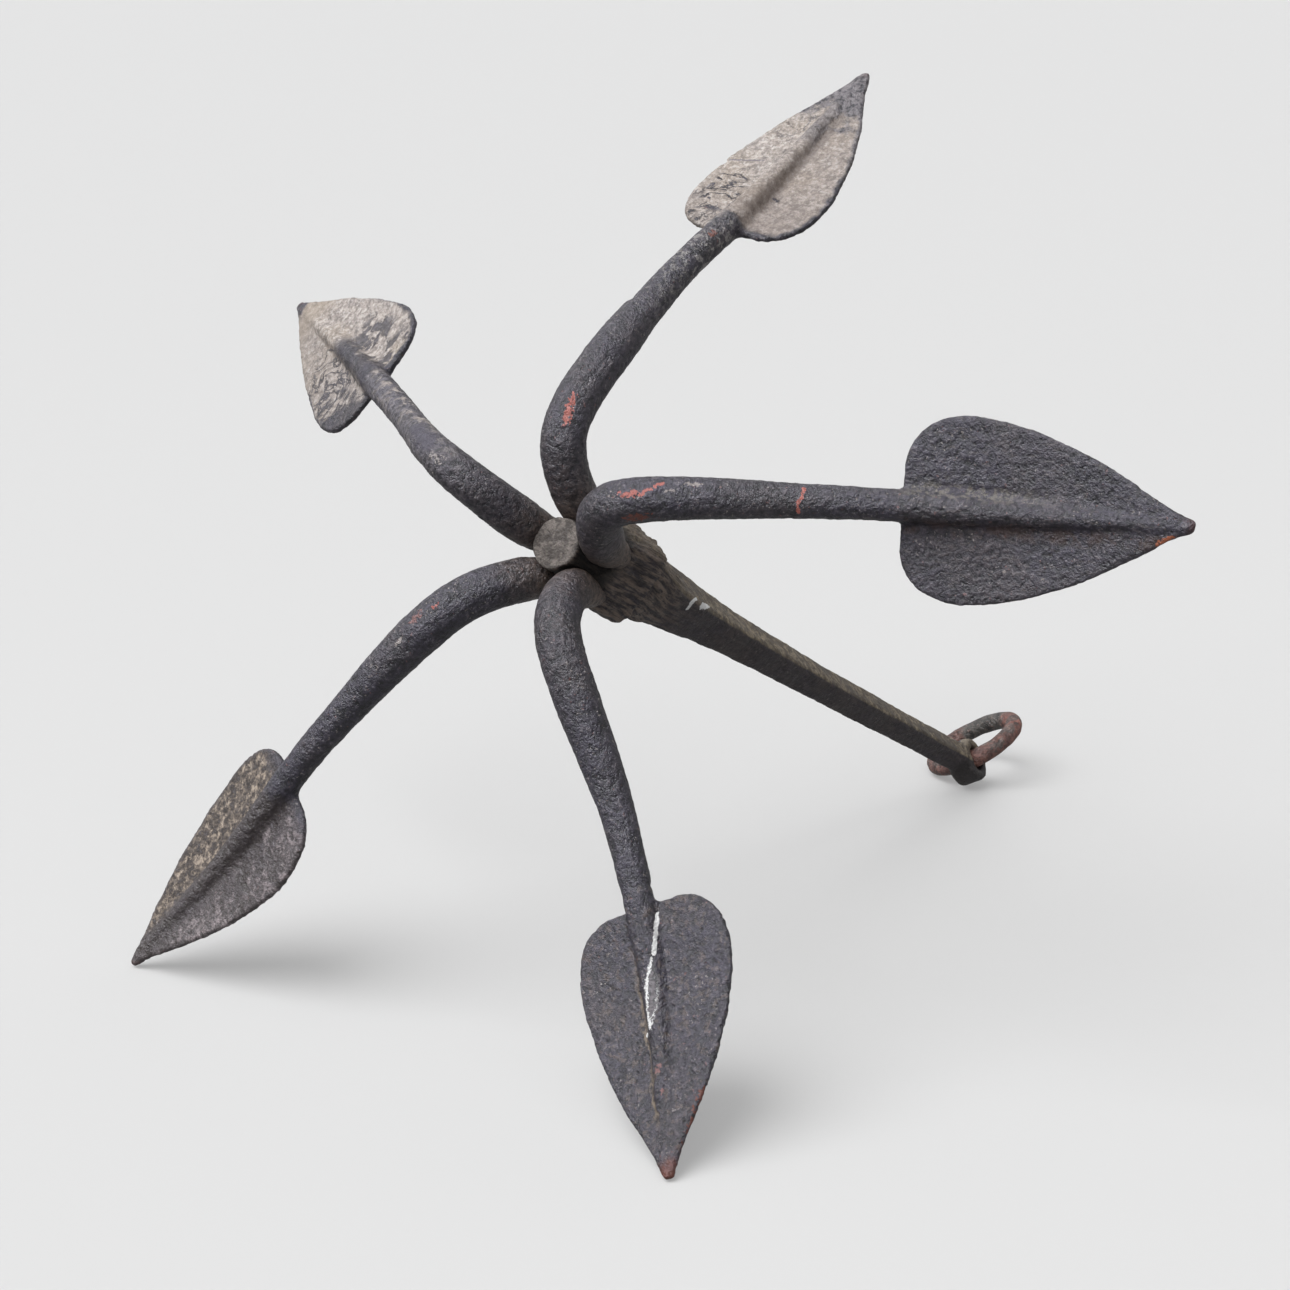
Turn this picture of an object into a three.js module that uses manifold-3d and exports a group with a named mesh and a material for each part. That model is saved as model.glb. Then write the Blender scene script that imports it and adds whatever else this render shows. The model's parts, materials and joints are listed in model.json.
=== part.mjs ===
// Five-armed grapnel anchor, forged from iron bar, lying on two of its flukes and the eye end of
// its shank. Millimetres and degrees, +Z up. The anchor is drawn upright in its own frame first,
// with the shank on the Z axis, the crown face at z = 0 and the eye below it, and is then laid down.

import * as THREE from 'three';
import Module from 'manifold-3d';
import { mergeVertices } from 'three/addons/utils/BufferGeometryUtils.js';

const wasm = await Module();
wasm.setup();

// ---------------------------------------------------------------- driving dimensions

const SHANK_LENGTH = 855; // crown face to the middle of the eye
const SHANK_SLOPE = 30.3; // the shank falls this much from the crown to the eye
const SHANK_ROLL = 50; // direction that the upper flat of the square shank faces
const CORE_RADIUS = 27; // round end of the shank between the arms
const CORE_LENGTH = 70;
const CROWN_TWIST = 15; // the square crown block is turned this much further than the shank
const CROWN_DEPTH = 115; // the twist runs out between these depths
const SHANK_DEPTH = 178;
const CROWN_SHIFT = 6; // the block stands this far off the shank's axis, in this direction
const CROWN_SHIFT_TURN = 78;
const LIP_DEPTH = 111; // the weld of the crown ends here in a lip

const EYE_RADIUS = 26;
const EYE_THICKNESS = 30;
const EYE_HOLE_RADIUS = 14;
const EYE_TURN = 31.5; // direction that the hole's axis faces

const RING_RADIUS = 51.5; // to the middle of the wire
const RING_WIRE_RADIUS = 10.5;
const RING_LEAST_SWING = 20; // the ring is let down from here until it touches the ground
const RING_MOST_SWING = 80;

const ARM_COUNT = 5;
const ARM_ONE_TURN = 86.5; // direction of the uppermost arm round the shank
const BAR_RADIUS = 22;
const NECK_RADIUS = 15.5;
const ROOT_RADIUS = 9; // the drawn-down end of the bar inside the crown block
const ROOT_DEPTH = 118;
const BUNDLE_RADIUS = 43; // the bars stand on this circle round the core

const PALM_HALF_WIDTH = 78;
const PALM_LENGTH = 265; // from the tip to the shoulders, where the stem comes in
const PALM_WIDEST = 0.763; // part of the length from the tip to the widest place
const PALM_THICKNESS = 8;
const PALM_BEVEL = 2.5;
const PALM_BACK_SET = 8; // the plate lies this far behind the middle of the bar at the shoulders
const NOSE_RADIUS = 5;

const GAP = 0.3; // between pieces that touch

// How each arm was bent by hand. reach: from the shank's axis to the tip. proud: how far the bend
// stands above the crown face. middle, shoulder, tip: how far back towards the eye the bar lies at
// 45% and 72% of its reach and at its tip. lean: how far sideways it stands in the crown. sway:
// sideways bow of the rest. turn, twist: of the arm round the shank and of the palm round the bar.
// width, length: of the palm, as parts of the usual size. stem: the palm's own bar before the
// shoulders. step: how much thinner the stem is than the bar at the weld. thin: distances from the
// root between which the bar narrows to the neck.
const ARMS = [
  {
    turn: 2.5, reach: 591.5, proud: 33.6, middle: 41.7, shoulder: 151.9, tip: 246.7,
    lean: 0, sway: -7.8, twist: 5.4, width: 0.983, length: 0.999, stem: 153, step: 3.2,
    thin: [290, 430],
  },
  {
    turn: -1.3, reach: 600.6, proud: 51.9, middle: 25.3, shoulder: 84.5, tip: 105.7,
    lean: 0, sway: -25.3, twist: 19.9, width: 1.094, length: 1.022, stem: 40, step: 0.4,
    thin: [170, 440],
  },
  {
    turn: -1.5, reach: 616.4, proud: 21.5, middle: 34.6, shoulder: 46.7, tip: 15.9,
    lean: 0, sway: 0, twist: -2.5, width: 1.015, length: 0.994, stem: 24, step: 1.2,
    thin: [220, 410],
  },
  {
    turn: 1.6, reach: 630.7, proud: 31, middle: -23.8, shoulder: 14, tip: 37.9,
    lean: 0, sway: 1.5, twist: 6.6, width: 0.985, length: 1.031, stem: 40, step: 0.6,
    thin: [205, 400],
  },
  {
    turn: -1.2, reach: 621.2, proud: 68.2, middle: 17.6, shoulder: 99.3, tip: 158.7,
    lean: -4.5, sway: 1.3, twist: 2.5, width: 1.015, length: 1.001, stem: 276, step: 2.6,
    thin: [200, 320],
  },
];

// ---------------------------------------------------------------- colours

const IRON = { color: '#33353b', roughness: 0.62, metalness: 0.35 };
const SHANK_IRON = { color: '#3b3733', roughness: 0.72, metalness: 0.3 };
const PALE_IRON = { color: '#6b675e', roughness: 0.85, metalness: 0.1 };
const RUSTY_IRON = { color: '#6a4038', roughness: 0.78, metalness: 0.2 };

// ---------------------------------------------------------------- solids

const radians = THREE.MathUtils.degToRad;
const mix = THREE.MathUtils.lerp;

function bare(geometry) {
  geometry.deleteAttribute('normal');
  geometry.deleteAttribute('uv');
  return mergeVertices(geometry, 1e-4);
}

function solidOf(geometry) {
  const merged = bare(geometry);
  const vertProperties = new Float32Array(merged.attributes.position.array);
  const triVerts = new Uint32Array(merged.index.array);
  return new wasm.Manifold(new wasm.Mesh({ numProp: 3, vertProperties, triVerts }));
}

function geometryOf(solid) {
  const mesh = solid.getMesh();
  const geometry = new THREE.BufferGeometry();
  geometry.setAttribute('position', new THREE.BufferAttribute(mesh.vertProperties, 3));
  geometry.setIndex(new THREE.BufferAttribute(mesh.triVerts, 1));
  return geometry;
}

function meshOf(name, geometry, finish) {
  const ready = geometry.attributes.normal ? bare(geometry) : geometry;
  ready.computeVertexNormals();
  const mesh = new THREE.Mesh(ready, new THREE.MeshStandardMaterial(finish));
  mesh.name = name;
  return mesh;
}

// A closed outline drawn out through a row of stations. A station has a centre, the directions
// that the outline's x and y point in there, and the size of the outline along each.
function loft(outline, sides, stations) {
  const steps = stations.length - 1;
  const geometry = new THREE.ExtrudeGeometry(outline, {
    depth: steps, steps, bevelEnabled: false, curveSegments: sides,
  });
  const position = geometry.attributes.position;
  const vertex = new THREE.Vector3();
  for (let i = 0; i < position.count; i += 1) {
    const station = stations[Math.round(position.getZ(i))];
    vertex.copy(station.centre);
    vertex.addScaledVector(station.side, position.getX(i) * station.width);
    vertex.addScaledVector(station.up, position.getY(i) * station.height);
    position.setXYZ(i, vertex.x, vertex.y, vertex.z);
  }
  return geometry;
}

function circle(radius) {
  return new THREE.Shape().absarc(0, 0, radius, 0, 2 * Math.PI);
}

// A size that runs smoothly through pairs of [distance, size].
function profile(pairs) {
  return (distance) => {
    const last = pairs.length - 1;
    if (distance <= pairs[0][0]) return pairs[0][1];
    if (distance >= pairs[last][0]) return pairs[last][1];
    const next = pairs.findIndex(([at]) => at > distance);
    const [from, sizeFrom] = pairs[next - 1];
    const [to, sizeTo] = pairs[next];
    return mix(sizeFrom, sizeTo, (distance - from) / (to - from));
  };
}

// ---------------------------------------------------------------- arms and palms

// The middle line of one arm, root to tip, with the arm reaching out along +X.
function armCurve(arm) {
  const at = (radius, back, sway) => new THREE.Vector3(radius, -sway, -back);
  return new THREE.CatmullRomCurve3([
    at(BUNDLE_RADIUS - 19, ROOT_DEPTH, 0),
    at(BUNDLE_RADIUS - 12, 75, 0),
    at(BUNDLE_RADIUS - 3.5, 45, 0),
    at(BUNDLE_RADIUS, 20, arm.lean),
    at(BUNDLE_RADIUS + 0.09 * arm.reach, -arm.proud, 0.45 * arm.sway),
    at(0.45 * arm.reach, arm.middle, arm.sway),
    at(0.72 * arm.reach, arm.shoulder, 0.75 * arm.sway),
    at(arm.reach, arm.tip, 0),
  ]);
}

// Where the arm's middle line is at a distance from its root, and how the palm is turned there.
function frameAt(arm, curve, distance) {
  const part = THREE.MathUtils.clamp(distance / curve.getLength(), 0, 1);
  const centre = curve.getPointAt(part);
  const along = curve.getTangentAt(part);
  const side = new THREE.Vector3(0, -1, 0).addScaledVector(along, along.y).normalize();
  side.applyAxisAngle(along, radians(arm.twist));
  const up = new THREE.Vector3().crossVectors(along, side);
  return { centre, along, side, up };
}

function palmLength(arm) {
  return PALM_LENGTH * arm.length;
}

function joinDistance(arm, curve) {
  return curve.getLength() - palmLength(arm) - arm.stem;
}

// The bar is drawn down to a point at its root, and narrows to the neck further out.
function barRadius(arm, distance) {
  const root = profile([[0, ROOT_RADIUS], [50, 15], [95, BAR_RADIUS]]);
  const narrowing = THREE.MathUtils.smoothstep(distance, ...arm.thin);
  return mix(root(distance), NECK_RADIUS, narrowing);
}

function armGeometry(arm, extra = 0) {
  const curve = armCurve(arm);
  const end = joinDistance(arm, curve) - GAP / 2;
  const stations = [];
  const count = Math.round(end / 22);
  for (let i = 0; i <= count; i += 1) {
    const distance = end * (i / count);
    const size = barRadius(arm, distance) + extra;
    stations.push({ ...frameAt(arm, curve, distance), width: size, height: size });
  }
  return loft(circle(1), 6, stations);
}

// The palm's outline runs from the tip round one lobe to the stem, and back round the other lobe.
function palmOutline(arm) {
  const half = [
    [0.045, 0], [0.44, 0.267], [0.98, 0.53], [1, PALM_WIDEST],
    [1, 0.9], [0.86, 0.985], [0.62, 0.987],
    [0.45, 0.992], [0.28, 0.99], [0.1, 0.965],
  ];
  const wide = PALM_HALF_WIDTH * arm.width;
  const out = half.map(([x, y]) => [x * wide, y * palmLength(arm)]);
  const back = half.map(([x, y]) => [-x * wide, y * palmLength(arm)]).reverse();
  const shape = new THREE.Shape();
  shape.moveTo(...out[0]);
  for (let i = 1; i < out.length; i += 3) {
    shape.bezierCurveTo(...out[i], ...out[i + 1], ...out[i + 2]);
  }
  shape.lineTo(...back[0]);
  for (let i = 1; i < back.length; i += 3) {
    shape.bezierCurveTo(...back[i], ...back[i + 1], ...back[i + 2]);
  }
  shape.closePath();
  return shape;
}

// The plate follows the arm's line from its tip back, and is set behind the bar at its shoulders.
function plateGeometry(arm, curve) {
  const geometry = new THREE.ExtrudeGeometry(palmOutline(arm), {
    depth: PALM_THICKNESS - 2 * PALM_BEVEL,
    bevelThickness: PALM_BEVEL,
    bevelSize: PALM_BEVEL,
    bevelOffset: -PALM_BEVEL,
    bevelSegments: 1,
    curveSegments: 7,
  });
  geometry.translate(0, 0, PALM_BEVEL - PALM_THICKNESS / 2);
  const position = geometry.attributes.position;
  const length = curve.getLength();
  for (let i = 0; i < position.count; i += 1) {
    const fromTip = position.getY(i);
    const place = frameAt(arm, curve, length - fromTip);
    const setBack = PALM_BACK_SET * THREE.MathUtils.clamp(fromTip / PALM_LENGTH, 0, 1);
    place.centre.addScaledVector(place.side, position.getX(i));
    place.centre.addScaledVector(place.up, position.getZ(i) + setBack);
    position.setXYZ(i, place.centre.x, place.centre.y, place.centre.z);
  }
  return geometry;
}

// The stem and the rib that it runs out into, from the weld to the tip.
function ribGeometry(arm, curve) {
  const length = curve.getLength();
  const start = joinDistance(arm, curve) + GAP / 2;
  const swell = barRadius(arm, start) - arm.step - NECK_RADIUS;
  const halfWidth = profile([
    [0, NOSE_RADIUS - 1], [90, 9], [190, 12.5], [palmLength(arm), NECK_RADIUS],
  ]);
  const halfHeight = profile([
    [0, NOSE_RADIUS - 1], [90, 8.5], [190, 12], [palmLength(arm), NECK_RADIUS],
  ]);
  const stations = [];
  const count = Math.round((length - start) / 25);
  for (let i = 0; i <= count; i += 1) {
    const distance = mix(start, length - NOSE_RADIUS, i / count);
    const fromTip = length - distance;
    const swollen = swell * (1 - THREE.MathUtils.smoothstep(distance, start, start + 90));
    stations.push({
      ...frameAt(arm, curve, distance),
      width: halfWidth(fromTip) + swollen,
      height: halfHeight(fromTip) + swollen,
    });
  }
  return loft(circle(1), 5, stations);
}

function palmGeometry(arm) {
  const curve = armCurve(arm);
  const nose = new THREE.SphereGeometry(NOSE_RADIUS, 10, 6);
  nose.translate(...frameAt(arm, curve, curve.getLength() - NOSE_RADIUS).centre);
  const palm = solidOf(plateGeometry(arm, curve))
    .add(solidOf(ribGeometry(arm, curve)))
    .add(solidOf(nose));
  return geometryOf(palm);
}

function armTurn(index) {
  return radians(ARM_ONE_TURN - (index * 360) / ARM_COUNT + ARMS[index].turn);
}

// ---------------------------------------------------------------- shank

// A square with rounded corners, one unit from its middle to each flat.
function squareOutline() {
  const corner = 0.28;
  const flat = 1 - corner;
  const shape = new THREE.Shape();
  for (let i = 0; i < 4; i += 1) {
    const turn = (i * Math.PI) / 2;
    const x = flat * (Math.cos(turn) - Math.sin(turn));
    const y = flat * (Math.sin(turn) + Math.cos(turn));
    shape.absarc(x, y, corner, turn, turn + Math.PI / 2);
  }
  shape.closePath();
  return shape;
}

// A square section through pairs of depth and half size. Near the crown it is turned further and
// stands off the shank's axis.
function squareGeometry(depthAndSize) {
  const offAxis = profile([[100, CROWN_SHIFT], [200, 3.5], [300, 2], [500, 0]]);
  const shift = radians(CROWN_SHIFT_TURN);
  const stations = depthAndSize.map(([depth, size]) => {
    const twist = 1 - THREE.MathUtils.smoothstep(depth, CROWN_DEPTH, SHANK_DEPTH);
    const upward = radians(SHANK_ROLL + CROWN_TWIST * twist);
    const off = offAxis(depth);
    return {
      centre: new THREE.Vector3(off * Math.cos(shift), off * Math.sin(shift), -depth),
      side: new THREE.Vector3(Math.cos(upward), Math.sin(upward), 0),
      up: new THREE.Vector3(Math.sin(upward), -Math.cos(upward), 0),
      width: size,
      height: size,
    };
  });
  return loft(squareOutline(), 3, stations);
}

// Square bar that swells towards the crown.
function barGeometry() {
  return squareGeometry([
    [60, 24], [100, 33], [125, 33], [150, 30], [SHANK_DEPTH, 26.5],
    [250, 21.4], [320, 18.5], [395, 16.9], [550, 15.2], [760, 14.2], [SHANK_LENGTH, 14],
  ]);
}

// The block welded round the roots of the arms, which ends in a lip.
function crownGeometry() {
  return squareGeometry([
    [36, 24], [44, 38], [54, 41.5], [70, 43], [LIP_DEPTH - 8, 43.5],
    [LIP_DEPTH, 41.5], [LIP_DEPTH + 5, 34],
  ]);
}

// The round core that the arms stand against, with its end face at z = 0.
function coreGeometry() {
  const core = new THREE.CylinderGeometry(CORE_RADIUS, CORE_RADIUS, CORE_LENGTH, 32);
  core.rotateX(Math.PI / 2);
  core.translate(0, 0, -CORE_LENGTH / 2);
  return core;
}

// A round of the eye, with its axis along the hole.
function eyeRound(radius, thickness) {
  const round = new THREE.CylinderGeometry(radius, radius, thickness, 24);
  round.rotateZ(-Math.PI / 2);
  round.rotateZ(radians(EYE_TURN));
  round.translate(0, 0, -SHANK_LENGTH);
  return round;
}

function shankGeometry() {
  let shank = solidOf(barGeometry())
    .add(solidOf(crownGeometry()))
    .add(solidOf(coreGeometry()))
    .add(solidOf(eyeRound(EYE_RADIUS, EYE_THICKNESS)))
    .subtract(solidOf(eyeRound(EYE_HOLE_RADIUS, 3 * EYE_THICKNESS)));
  ARMS.forEach((arm, index) => {
    const bar = armGeometry(arm, GAP);
    bar.rotateZ(armTurn(index));
    shank = shank.subtract(solidOf(bar));
  });
  return geometryOf(shank);
}

// ---------------------------------------------------------------- ring

// The ring hangs from its wire's middle, which is its own origin, and reaches out along +X.
function ringGeometry() {
  const ring = new THREE.TorusGeometry(RING_RADIUS, RING_WIRE_RADIUS, 10, 32);
  ring.translate(RING_RADIUS, 0, 0);
  return ring;
}

// The hole's axis is the hinge; at no swing the ring reaches on in line with the shank.
function ringGroup(swing) {
  const hole = new THREE.Vector3(Math.cos(radians(EYE_TURN)), Math.sin(radians(EYE_TURN)), 0);
  const reach = new THREE.Vector3(0, 0, -1).applyAxisAngle(hole, radians(swing));
  const across = new THREE.Vector3().crossVectors(reach, hole);
  const basis = new THREE.Matrix4().makeBasis(reach, hole, across);
  const group = new THREE.Group();
  group.position.set(0, 0, -SHANK_LENGTH);
  group.quaternion.setFromRotationMatrix(basis);
  group.add(meshOf('ring', ringGeometry(), RUSTY_IRON));
  return group;
}

// ---------------------------------------------------------------- assembly

function lowestPoint(mesh) {
  mesh.updateWorldMatrix(true, false);
  const position = mesh.geometry.attributes.position;
  const vertex = new THREE.Vector3();
  const lowest = new THREE.Vector3(0, 0, Infinity);
  for (let i = 0; i < position.count; i += 1) {
    vertex.fromBufferAttribute(position, i).applyMatrix4(mesh.matrixWorld);
    if (vertex.z < lowest.z) lowest.copy(vertex);
  }
  return lowest;
}

function uprightAnchor() {
  const anchor = new THREE.Group();
  anchor.add(meshOf('shank', shankGeometry(), SHANK_IRON));
  ARMS.forEach((arm, index) => {
    const pale = index === 0 || index === ARM_COUNT - 1;
    const bar = meshOf(`arm_${index + 1}`, armGeometry(arm), IRON);
    const palm = meshOf(`palm_${index + 1}`, palmGeometry(arm), pale ? PALE_IRON : IRON);
    bar.rotation.z = armTurn(index);
    palm.rotation.z = armTurn(index);
    anchor.add(bar, palm);
  });
  return anchor;
}

// Leans the anchor over, then turns it until the three pieces it rests on touch one plane.
function layDown(anchor, supports) {
  anchor.rotation.x = radians(90 - SHANK_SLOPE);
  const vertical = new THREE.Vector3(0, 0, 1);
  for (let round = 0; round < 8; round += 1) {
    const [a, b, c] = supports.map((name) => lowestPoint(anchor.getObjectByName(name)));
    const normal = new THREE.Vector3().crossVectors(b.sub(a), c.sub(a)).normalize();
    if (normal.z < 0) normal.negate();
    const tilt = new THREE.Quaternion().setFromUnitVectors(normal, vertical);
    anchor.quaternion.premultiply(tilt);
  }
}

// Lets the ring down about the hole until it just clears the ground.
function addRing(anchor, ground) {
  let high = RING_MOST_SWING;
  let low = RING_LEAST_SWING;
  for (let round = 0; round < 30; round += 1) {
    const swing = (high + low) / 2;
    const ring = ringGroup(swing);
    anchor.add(ring);
    const clear = lowestPoint(ring.children[0]).z > ground + GAP;
    anchor.remove(ring);
    if (clear) high = swing;
    else low = swing;
  }
  anchor.add(ringGroup(high));
}

function standOnGround(anchor) {
  const model = new THREE.Group();
  model.add(anchor);
  const box = new THREE.Box3().setFromObject(model, true);
  const middle = box.getCenter(new THREE.Vector3());
  model.position.set(-middle.x, -middle.y, -box.min.z);
  return model;
}

const anchor = uprightAnchor();
layDown(anchor, ['palm_3', 'palm_4', 'shank']);
addRing(anchor, lowestPoint(anchor.getObjectByName('shank')).z);

const model = standOnGround(anchor);

export default model;
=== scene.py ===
"""Looks of the five-armed grapnel anchor: forged iron with its scale, rust, grime and paint marks, and some
painted shade and highlights.
"""

import json
import math

import bmesh
import bpy
import numpy as np
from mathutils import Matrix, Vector


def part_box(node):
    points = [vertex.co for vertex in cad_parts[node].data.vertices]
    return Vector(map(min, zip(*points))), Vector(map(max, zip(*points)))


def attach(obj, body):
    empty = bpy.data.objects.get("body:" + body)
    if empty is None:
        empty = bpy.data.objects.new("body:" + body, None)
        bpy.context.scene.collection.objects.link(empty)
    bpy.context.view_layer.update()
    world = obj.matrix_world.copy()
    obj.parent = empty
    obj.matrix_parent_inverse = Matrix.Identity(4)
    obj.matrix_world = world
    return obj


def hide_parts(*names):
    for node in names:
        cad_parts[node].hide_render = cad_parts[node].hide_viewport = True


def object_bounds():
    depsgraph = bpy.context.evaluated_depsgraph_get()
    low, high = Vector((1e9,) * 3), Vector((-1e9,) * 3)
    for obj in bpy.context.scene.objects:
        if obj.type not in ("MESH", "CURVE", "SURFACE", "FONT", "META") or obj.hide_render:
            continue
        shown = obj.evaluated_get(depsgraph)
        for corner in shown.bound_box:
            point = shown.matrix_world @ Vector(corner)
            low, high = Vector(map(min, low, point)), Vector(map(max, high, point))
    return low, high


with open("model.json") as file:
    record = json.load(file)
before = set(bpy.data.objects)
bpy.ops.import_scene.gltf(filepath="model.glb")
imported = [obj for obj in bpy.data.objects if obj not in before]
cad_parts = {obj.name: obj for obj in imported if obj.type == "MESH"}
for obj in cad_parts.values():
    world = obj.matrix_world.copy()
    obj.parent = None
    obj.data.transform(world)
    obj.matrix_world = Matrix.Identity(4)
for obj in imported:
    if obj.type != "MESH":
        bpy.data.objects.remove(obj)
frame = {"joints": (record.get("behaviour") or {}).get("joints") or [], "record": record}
cad_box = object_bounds()

# ---- dimensions, in millimetres ----

SHANK_LENGTH = 855
SHANK_ROLL = 50
CORE_RADIUS = 27
CROWN_TWIST = 15
CROWN_DEPTH = 115
SHANK_DEPTH = 178
CROWN_SHIFT = 6
CROWN_SHIFT_TURN = 78
LIP_DEPTH = 111
EYE_RADIUS = 26
EYE_THICKNESS = 30
EYE_HOLE_RADIUS = 14
EYE_TURN = 31.5
RING_RADIUS = 51.5
RING_WIRE_RADIUS = 10.5

ARM_ONE_TURN = 86.5
BAR_RADIUS = 22
NECK_RADIUS = 15.5
ROOT_DEPTH = 118
BUNDLE_RADIUS = 43
PALM_HALF_WIDTH = 78
PALM_LENGTH = 265
PALM_THICKNESS = 8
PALM_BACK_SET = 8
NOSE_RADIUS = 5

# The bar's radius at distances from its root, up to its full size.
ROOT_PROFILE = ([0, 45, 73, 98, 116], [8, 9.5, 14.5, 20.5, BAR_RADIUS])
# Half the size of the shank's square section, and of the crown block's, at depths from the crown face.
SHANK_PROFILE = ([60, 100, 125, 150, SHANK_DEPTH, 250, 320, 395, 550, 760, SHANK_LENGTH],
                 [24, 33, 33, 30, 26.5, 21.4, 18.5, 16.9, 15.2, 14.2, 14])
CROWN_PROFILE = ([36, 44, 54, 70, 84, 96, LIP_DEPTH - 7, LIP_DEPTH - 2, LIP_DEPTH + 1.5, LIP_DEPTH + 5],
                 [24, 38, 41.5, 43, 43.2, 43.6, 44, 43.2, 39, 33])

# Seeds of the roughness from its coarsest lumps to its pits. Each arm adds its own number.
ARM_SEEDS = (11, 31, 51, 71)
SHANK_SEEDS = (5, 6, 7, 8)
RING_SEEDS = (91, 92)

# Size of the skin's quads and height of the materials' bump, in metres.
VOXEL = 0.0021
RELIEF = 0.0024

# Where the camera stands, in metres, which way it looks, in degrees, and its lens, in millimetres.
CAMERA_PLACE = (1.72975, -2.39621, 1.22766)
CAMERA_YAW = 37.744
CAMERA_PITCH = 17.714
CAMERA_LENS = 83.72

# The floor's disc, in metres, just under the ground so that it never cuts the anchor.
FLOOR_RADIUS = 45
FLOOR_SIDES = 96
FLOOR_DROP = 0.0004

# Half of a palm's outline: part of the half width at parts of the length from the tip.
PALM_LEAF = [
    (0, 0.05), (0.02, 0.085), (0.095, 0.175), (0.172, 0.32), (0.229, 0.42), (0.344, 0.61), (0.458, 0.762),
    (0.573, 0.885), (0.687, 0.972), (0.763, 1.0), (0.84, 0.985), (0.905, 0.92), (0.94, 0.85), (0.965, 0.76),
    (0.983, 0.66), (0.993, 0.57), (0.998, 0.48), (1.0, 0.4),
]

# Each arm, in millimetres and degrees: how far it turns from its even place, how far it reaches from the
# crown's axis, how far it stands proud of the crown face, how far back its middle, shoulder and tip lie,
# how it leans and sways aside, its palm's twist and factors of width and length, the stem and step of the
# weld behind the palm, and the stretch over which the bar thins to its neck.
ARMS = [
    dict(turn=2.5, reach=591.5, proud=33.6, middle=41.7, shoulder=151.9, tip=246.7, lean=0, sway=-7.8,
         twist=5.4, width=0.983, length=0.999, stem=153, step=3.2, thin=(290, 430)),
    dict(turn=-1.3, reach=600.6, proud=51.9, middle=25.3, shoulder=84.5, tip=105.7, lean=0, sway=-25.3,
         twist=19.9, width=1.094, length=1.022, stem=40, step=0.4, thin=(170, 440)),
    dict(turn=-1.5, reach=616.4, proud=21.5, middle=34.6, shoulder=46.7, tip=15.9, lean=0, sway=0,
         twist=-2.5, width=1.015, length=0.994, stem=24, step=1.2, thin=(220, 410)),
    dict(turn=1.6, reach=630.7, proud=31, middle=-23.8, shoulder=14, tip=37.9, lean=0, sway=1.5,
         twist=6.6, width=0.985, length=1.031, stem=40, step=0.6, thin=(205, 400)),
    dict(turn=-1.2, reach=621.2, proud=68.2, middle=17.6, shoulder=99.3, tip=158.7, lean=-4.5, sway=1.3,
         twist=2.5, width=1.015, length=1.001, stem=276, step=2.6, thin=(200, 320)),
]

# ---- the anchor's own frame ----


def turned_about(axis, vectors, angle):
    """vectors turned about a unit axis by an angle in radians."""
    axis = np.asarray(axis, float)
    vectors = np.atleast_2d(vectors)
    return (vectors * math.cos(angle) + np.cross(axis, vectors) * math.sin(angle)
            + np.outer(vectors @ axis, axis) * (1 - math.cos(angle)))


crown = next(m for m in frame["record"]["mounts"] if m["name"] == "crown_face")
hinge = frame["joints"][0]
AXIS_Z = np.array(crown["axis"], float)
AXIS_Z /= np.linalg.norm(AXIS_Z)
HOLE = np.array(hinge["axis"], float)
HOLE -= AXIS_Z * (HOLE @ AXIS_Z)
HOLE /= np.linalg.norm(HOLE)
AXIS_X = turned_about(AXIS_Z, HOLE, -math.radians(EYE_TURN))[0]
AXIS_Y = np.cross(AXIS_Z, AXIS_X)
ORIGIN = np.array(crown["pos_m"], float)
LOCAL = np.stack([AXIS_X, AXIS_Y, AXIS_Z], 1)


def to_row(points):
    """Millimetres in the anchor's own frame to metres in the row frame."""
    return ORIGIN + (np.asarray(points, float) / 1000) @ LOCAL.T


# ---- noise and mesh tools ----


def waves(points, size, seed, count=28):
    """Smooth noise of about unit spread whose lumps are about this size, in the points' own unit."""
    rng = np.random.default_rng(seed)
    way = rng.normal(size=(count, 3))
    way /= np.linalg.norm(way, axis=1)[:, None]
    pitch = 2 * math.pi / (size * rng.uniform(0.8, 2.2, count))
    phase = rng.uniform(0, 2 * math.pi, count)
    total = np.zeros(len(points))
    for w, p, f in zip(way, pitch, phase):
        total += np.sin(points @ (w * p) + f)
    return total / math.sqrt(count / 2)


def pit_depth(points, seed):
    """Depth of scattered pits, most of it zero."""
    return np.clip(waves(points, 6.5, seed, 40) - 1.3, 0, 1.2)


def smoothstep(x, low, high):
    """0 below low, 1 above high and a smooth ramp between them; it falls if low is above high."""
    t = np.clip((np.asarray(x, float) - low) / (high - low), 0, 1)
    return t * t * (3 - 2 * t)


def new_object(name, vertices, faces):
    mesh = bpy.data.meshes.new(name)
    mesh.from_pydata([tuple(v) for v in vertices], [], faces)
    mesh.validate()
    obj = bpy.data.objects.new(name, mesh)
    bpy.context.scene.collection.objects.link(obj)
    return obj


def rings_to_mesh(rings):
    """Closed skin over a row of rings of equal count, capped at both ends."""
    n = len(rings[0])
    vertices = np.concatenate(rings)
    faces = []
    for i in range(len(rings) - 1):
        for j in range(n):
            k = (j + 1) % n
            faces.append((i * n + j, i * n + k, (i + 1) * n + k, (i + 1) * n + j))
    faces.append(tuple(range(n - 1, -1, -1)))
    last = (len(rings) - 1) * n
    faces.append(tuple(range(last, last + n)))
    return vertices, faces


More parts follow.
